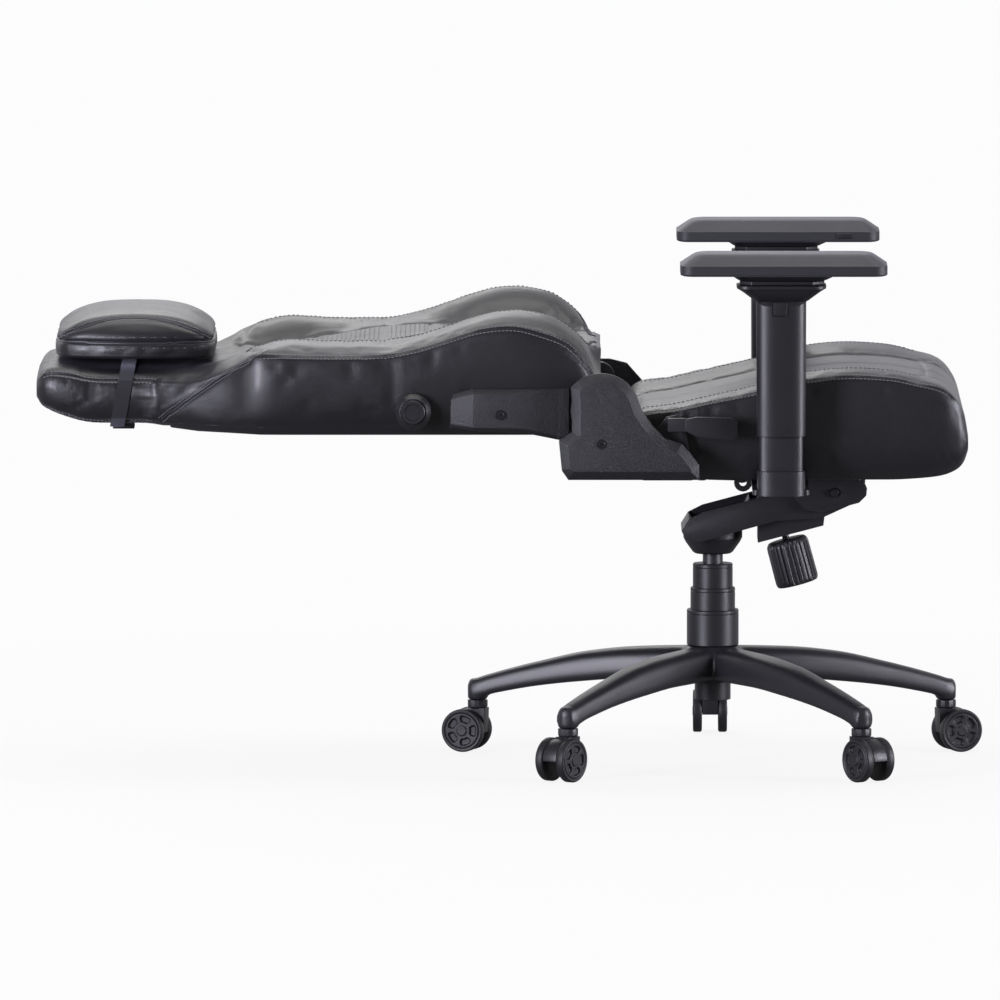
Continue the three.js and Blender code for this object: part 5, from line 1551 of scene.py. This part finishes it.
def buildStudio():
    floor = newPiece("floor", [(-60, -60, 0), (60, -60, 0), (60, 60, 0), (-60, 60, 0)], [(0, 1, 2, 3)])
    floor.visible_diffuse = floor.visible_glossy = False
    pale = bpy.data.materials.new("floorPale")
    pale.use_nodes = True
    shader = next(node for node in pale.node_tree.nodes if node.type == "BSDF_PRINCIPLED")
    shader.inputs["Base Color"].default_value = (studio["floor"], studio["floor"], studio["floor"] + 0.005, 1)
    shader.inputs["Roughness"].default_value = 0.9
    shader.inputs["Specular IOR Level"].default_value = 0.1
    place = pale.node_tree.nodes.new("ShaderNodeTexCoord").outputs["Object"]
    reach = pale.node_tree.nodes.new("ShaderNodeVectorMath")
    reach.operation = "LENGTH"
    pale.node_tree.links.new(place, reach.inputs[0])
    spread = mathNode(pale.node_tree, "MULTIPLY_ADD", rampNode(pale.node_tree, reach.outputs["Value"], 0.7, 1.9),
                      1 - studio["glow"], studio["glow"])
    glow = pale.node_tree.nodes.new("ShaderNodeEmission")
    glow.inputs["Color"].default_value = (*studio["background"], 1)
    mix = pale.node_tree.nodes.new("ShaderNodeMixShader")
    pale.node_tree.links.new(spread, mix.inputs["Fac"])
    pale.node_tree.links.new(shader.outputs[0], mix.inputs[1])
    pale.node_tree.links.new(glow.outputs[0], mix.inputs[2])
    output = next(node for node in pale.node_tree.nodes if node.type == "OUTPUT_MATERIAL")
    pale.node_tree.links.new(mix.outputs[0], output.inputs["Surface"])
    paint(floor, pale)
    world = bpy.data.worlds.new("studioWorld")
    scene.world = world
    world.use_nodes = True
    tree = world.node_tree
    background = next(node for node in tree.nodes if node.type == "BACKGROUND")
    path = tree.nodes.new("ShaderNodeLightPath")
    parts = tree.nodes.new("ShaderNodeSeparateXYZ")
    tree.links.new(tree.nodes.new("ShaderNodeTexCoord").outputs["Generated"], parts.inputs[0])
    behind = rampNode(tree, parts.outputs["Y"], -0.15, 0.75)
    above = rampNode(tree, parts.outputs["Z"], -0.35, 0.1)
    room = mathNode(tree, "MULTIPLY_ADD", mathNode(tree, "MULTIPLY", behind, above),
                    studio["backdrop"] - studio["surround"], studio["surround"])
    strength = mathNode(tree, "MAXIMUM", path.outputs["Is Camera Ray"], room)
    shade = tree.nodes.new("ShaderNodeMix")
    shade.data_type = "RGBA"
    tree.links.new(path.outputs["Is Camera Ray"], shade.inputs["Factor"])
    shade.inputs[6].default_value = (*studio["tint"], 1)
    shade.inputs[7].default_value = (*studio["background"], 1)
    tree.links.new(shade.outputs[2], background.inputs["Color"])
    tree.links.new(strength, background.inputs["Strength"])
    softLight("overheadSoftbox", (0.0, 0.3, 3.2), (0, 0, 0.4), (3.0, 1.3), 44, (1.0, 1.0, 0.97))
    softLight("rearSoftbox", (-1.2, 2.8, 2.2), (0, 0, 0.5), (3.6, 0.7), 26, (1.0, 1.0, 0.97))
    softLight("leftStrip", (-2.9, -3.1, 1.0), (0, 0, 0.45), (1.0, 1.9), 190, (0.87, 0.86, 1.0))
    softLight("rightStrip", (4.0, -1.3, 0.9), (0.1, 0, 0.45), (0.8, 1.8), 150, (0.9, 0.89, 1.0))
    data = bpy.data.cameras.new("sideCamera")
    data.lens = studio["lens"]
    data.sensor_width = 36
    data.clip_start, data.clip_end = 1, 200
    camera = bpy.data.objects.new("sideCamera", data)
    scene.collection.objects.link(camera)
    aim = Vector((studio["aimX"], middleY, studio["aimZ"]))
    rise = studio["height"] - studio["aimZ"]
    camera.location = (studio["aimX"], middleY - math.sqrt(studio["distance"] ** 2 - rise ** 2), studio["height"])
    camera.rotation_mode = "QUATERNION"
    camera.rotation_quaternion = (aim - camera.location).to_track_quat("-Z", "Y")
    scene.camera = camera
    scene.view_settings.view_transform = "Standard"


buildStudio()
bpy.context.view_layer.update()
print("studio built")
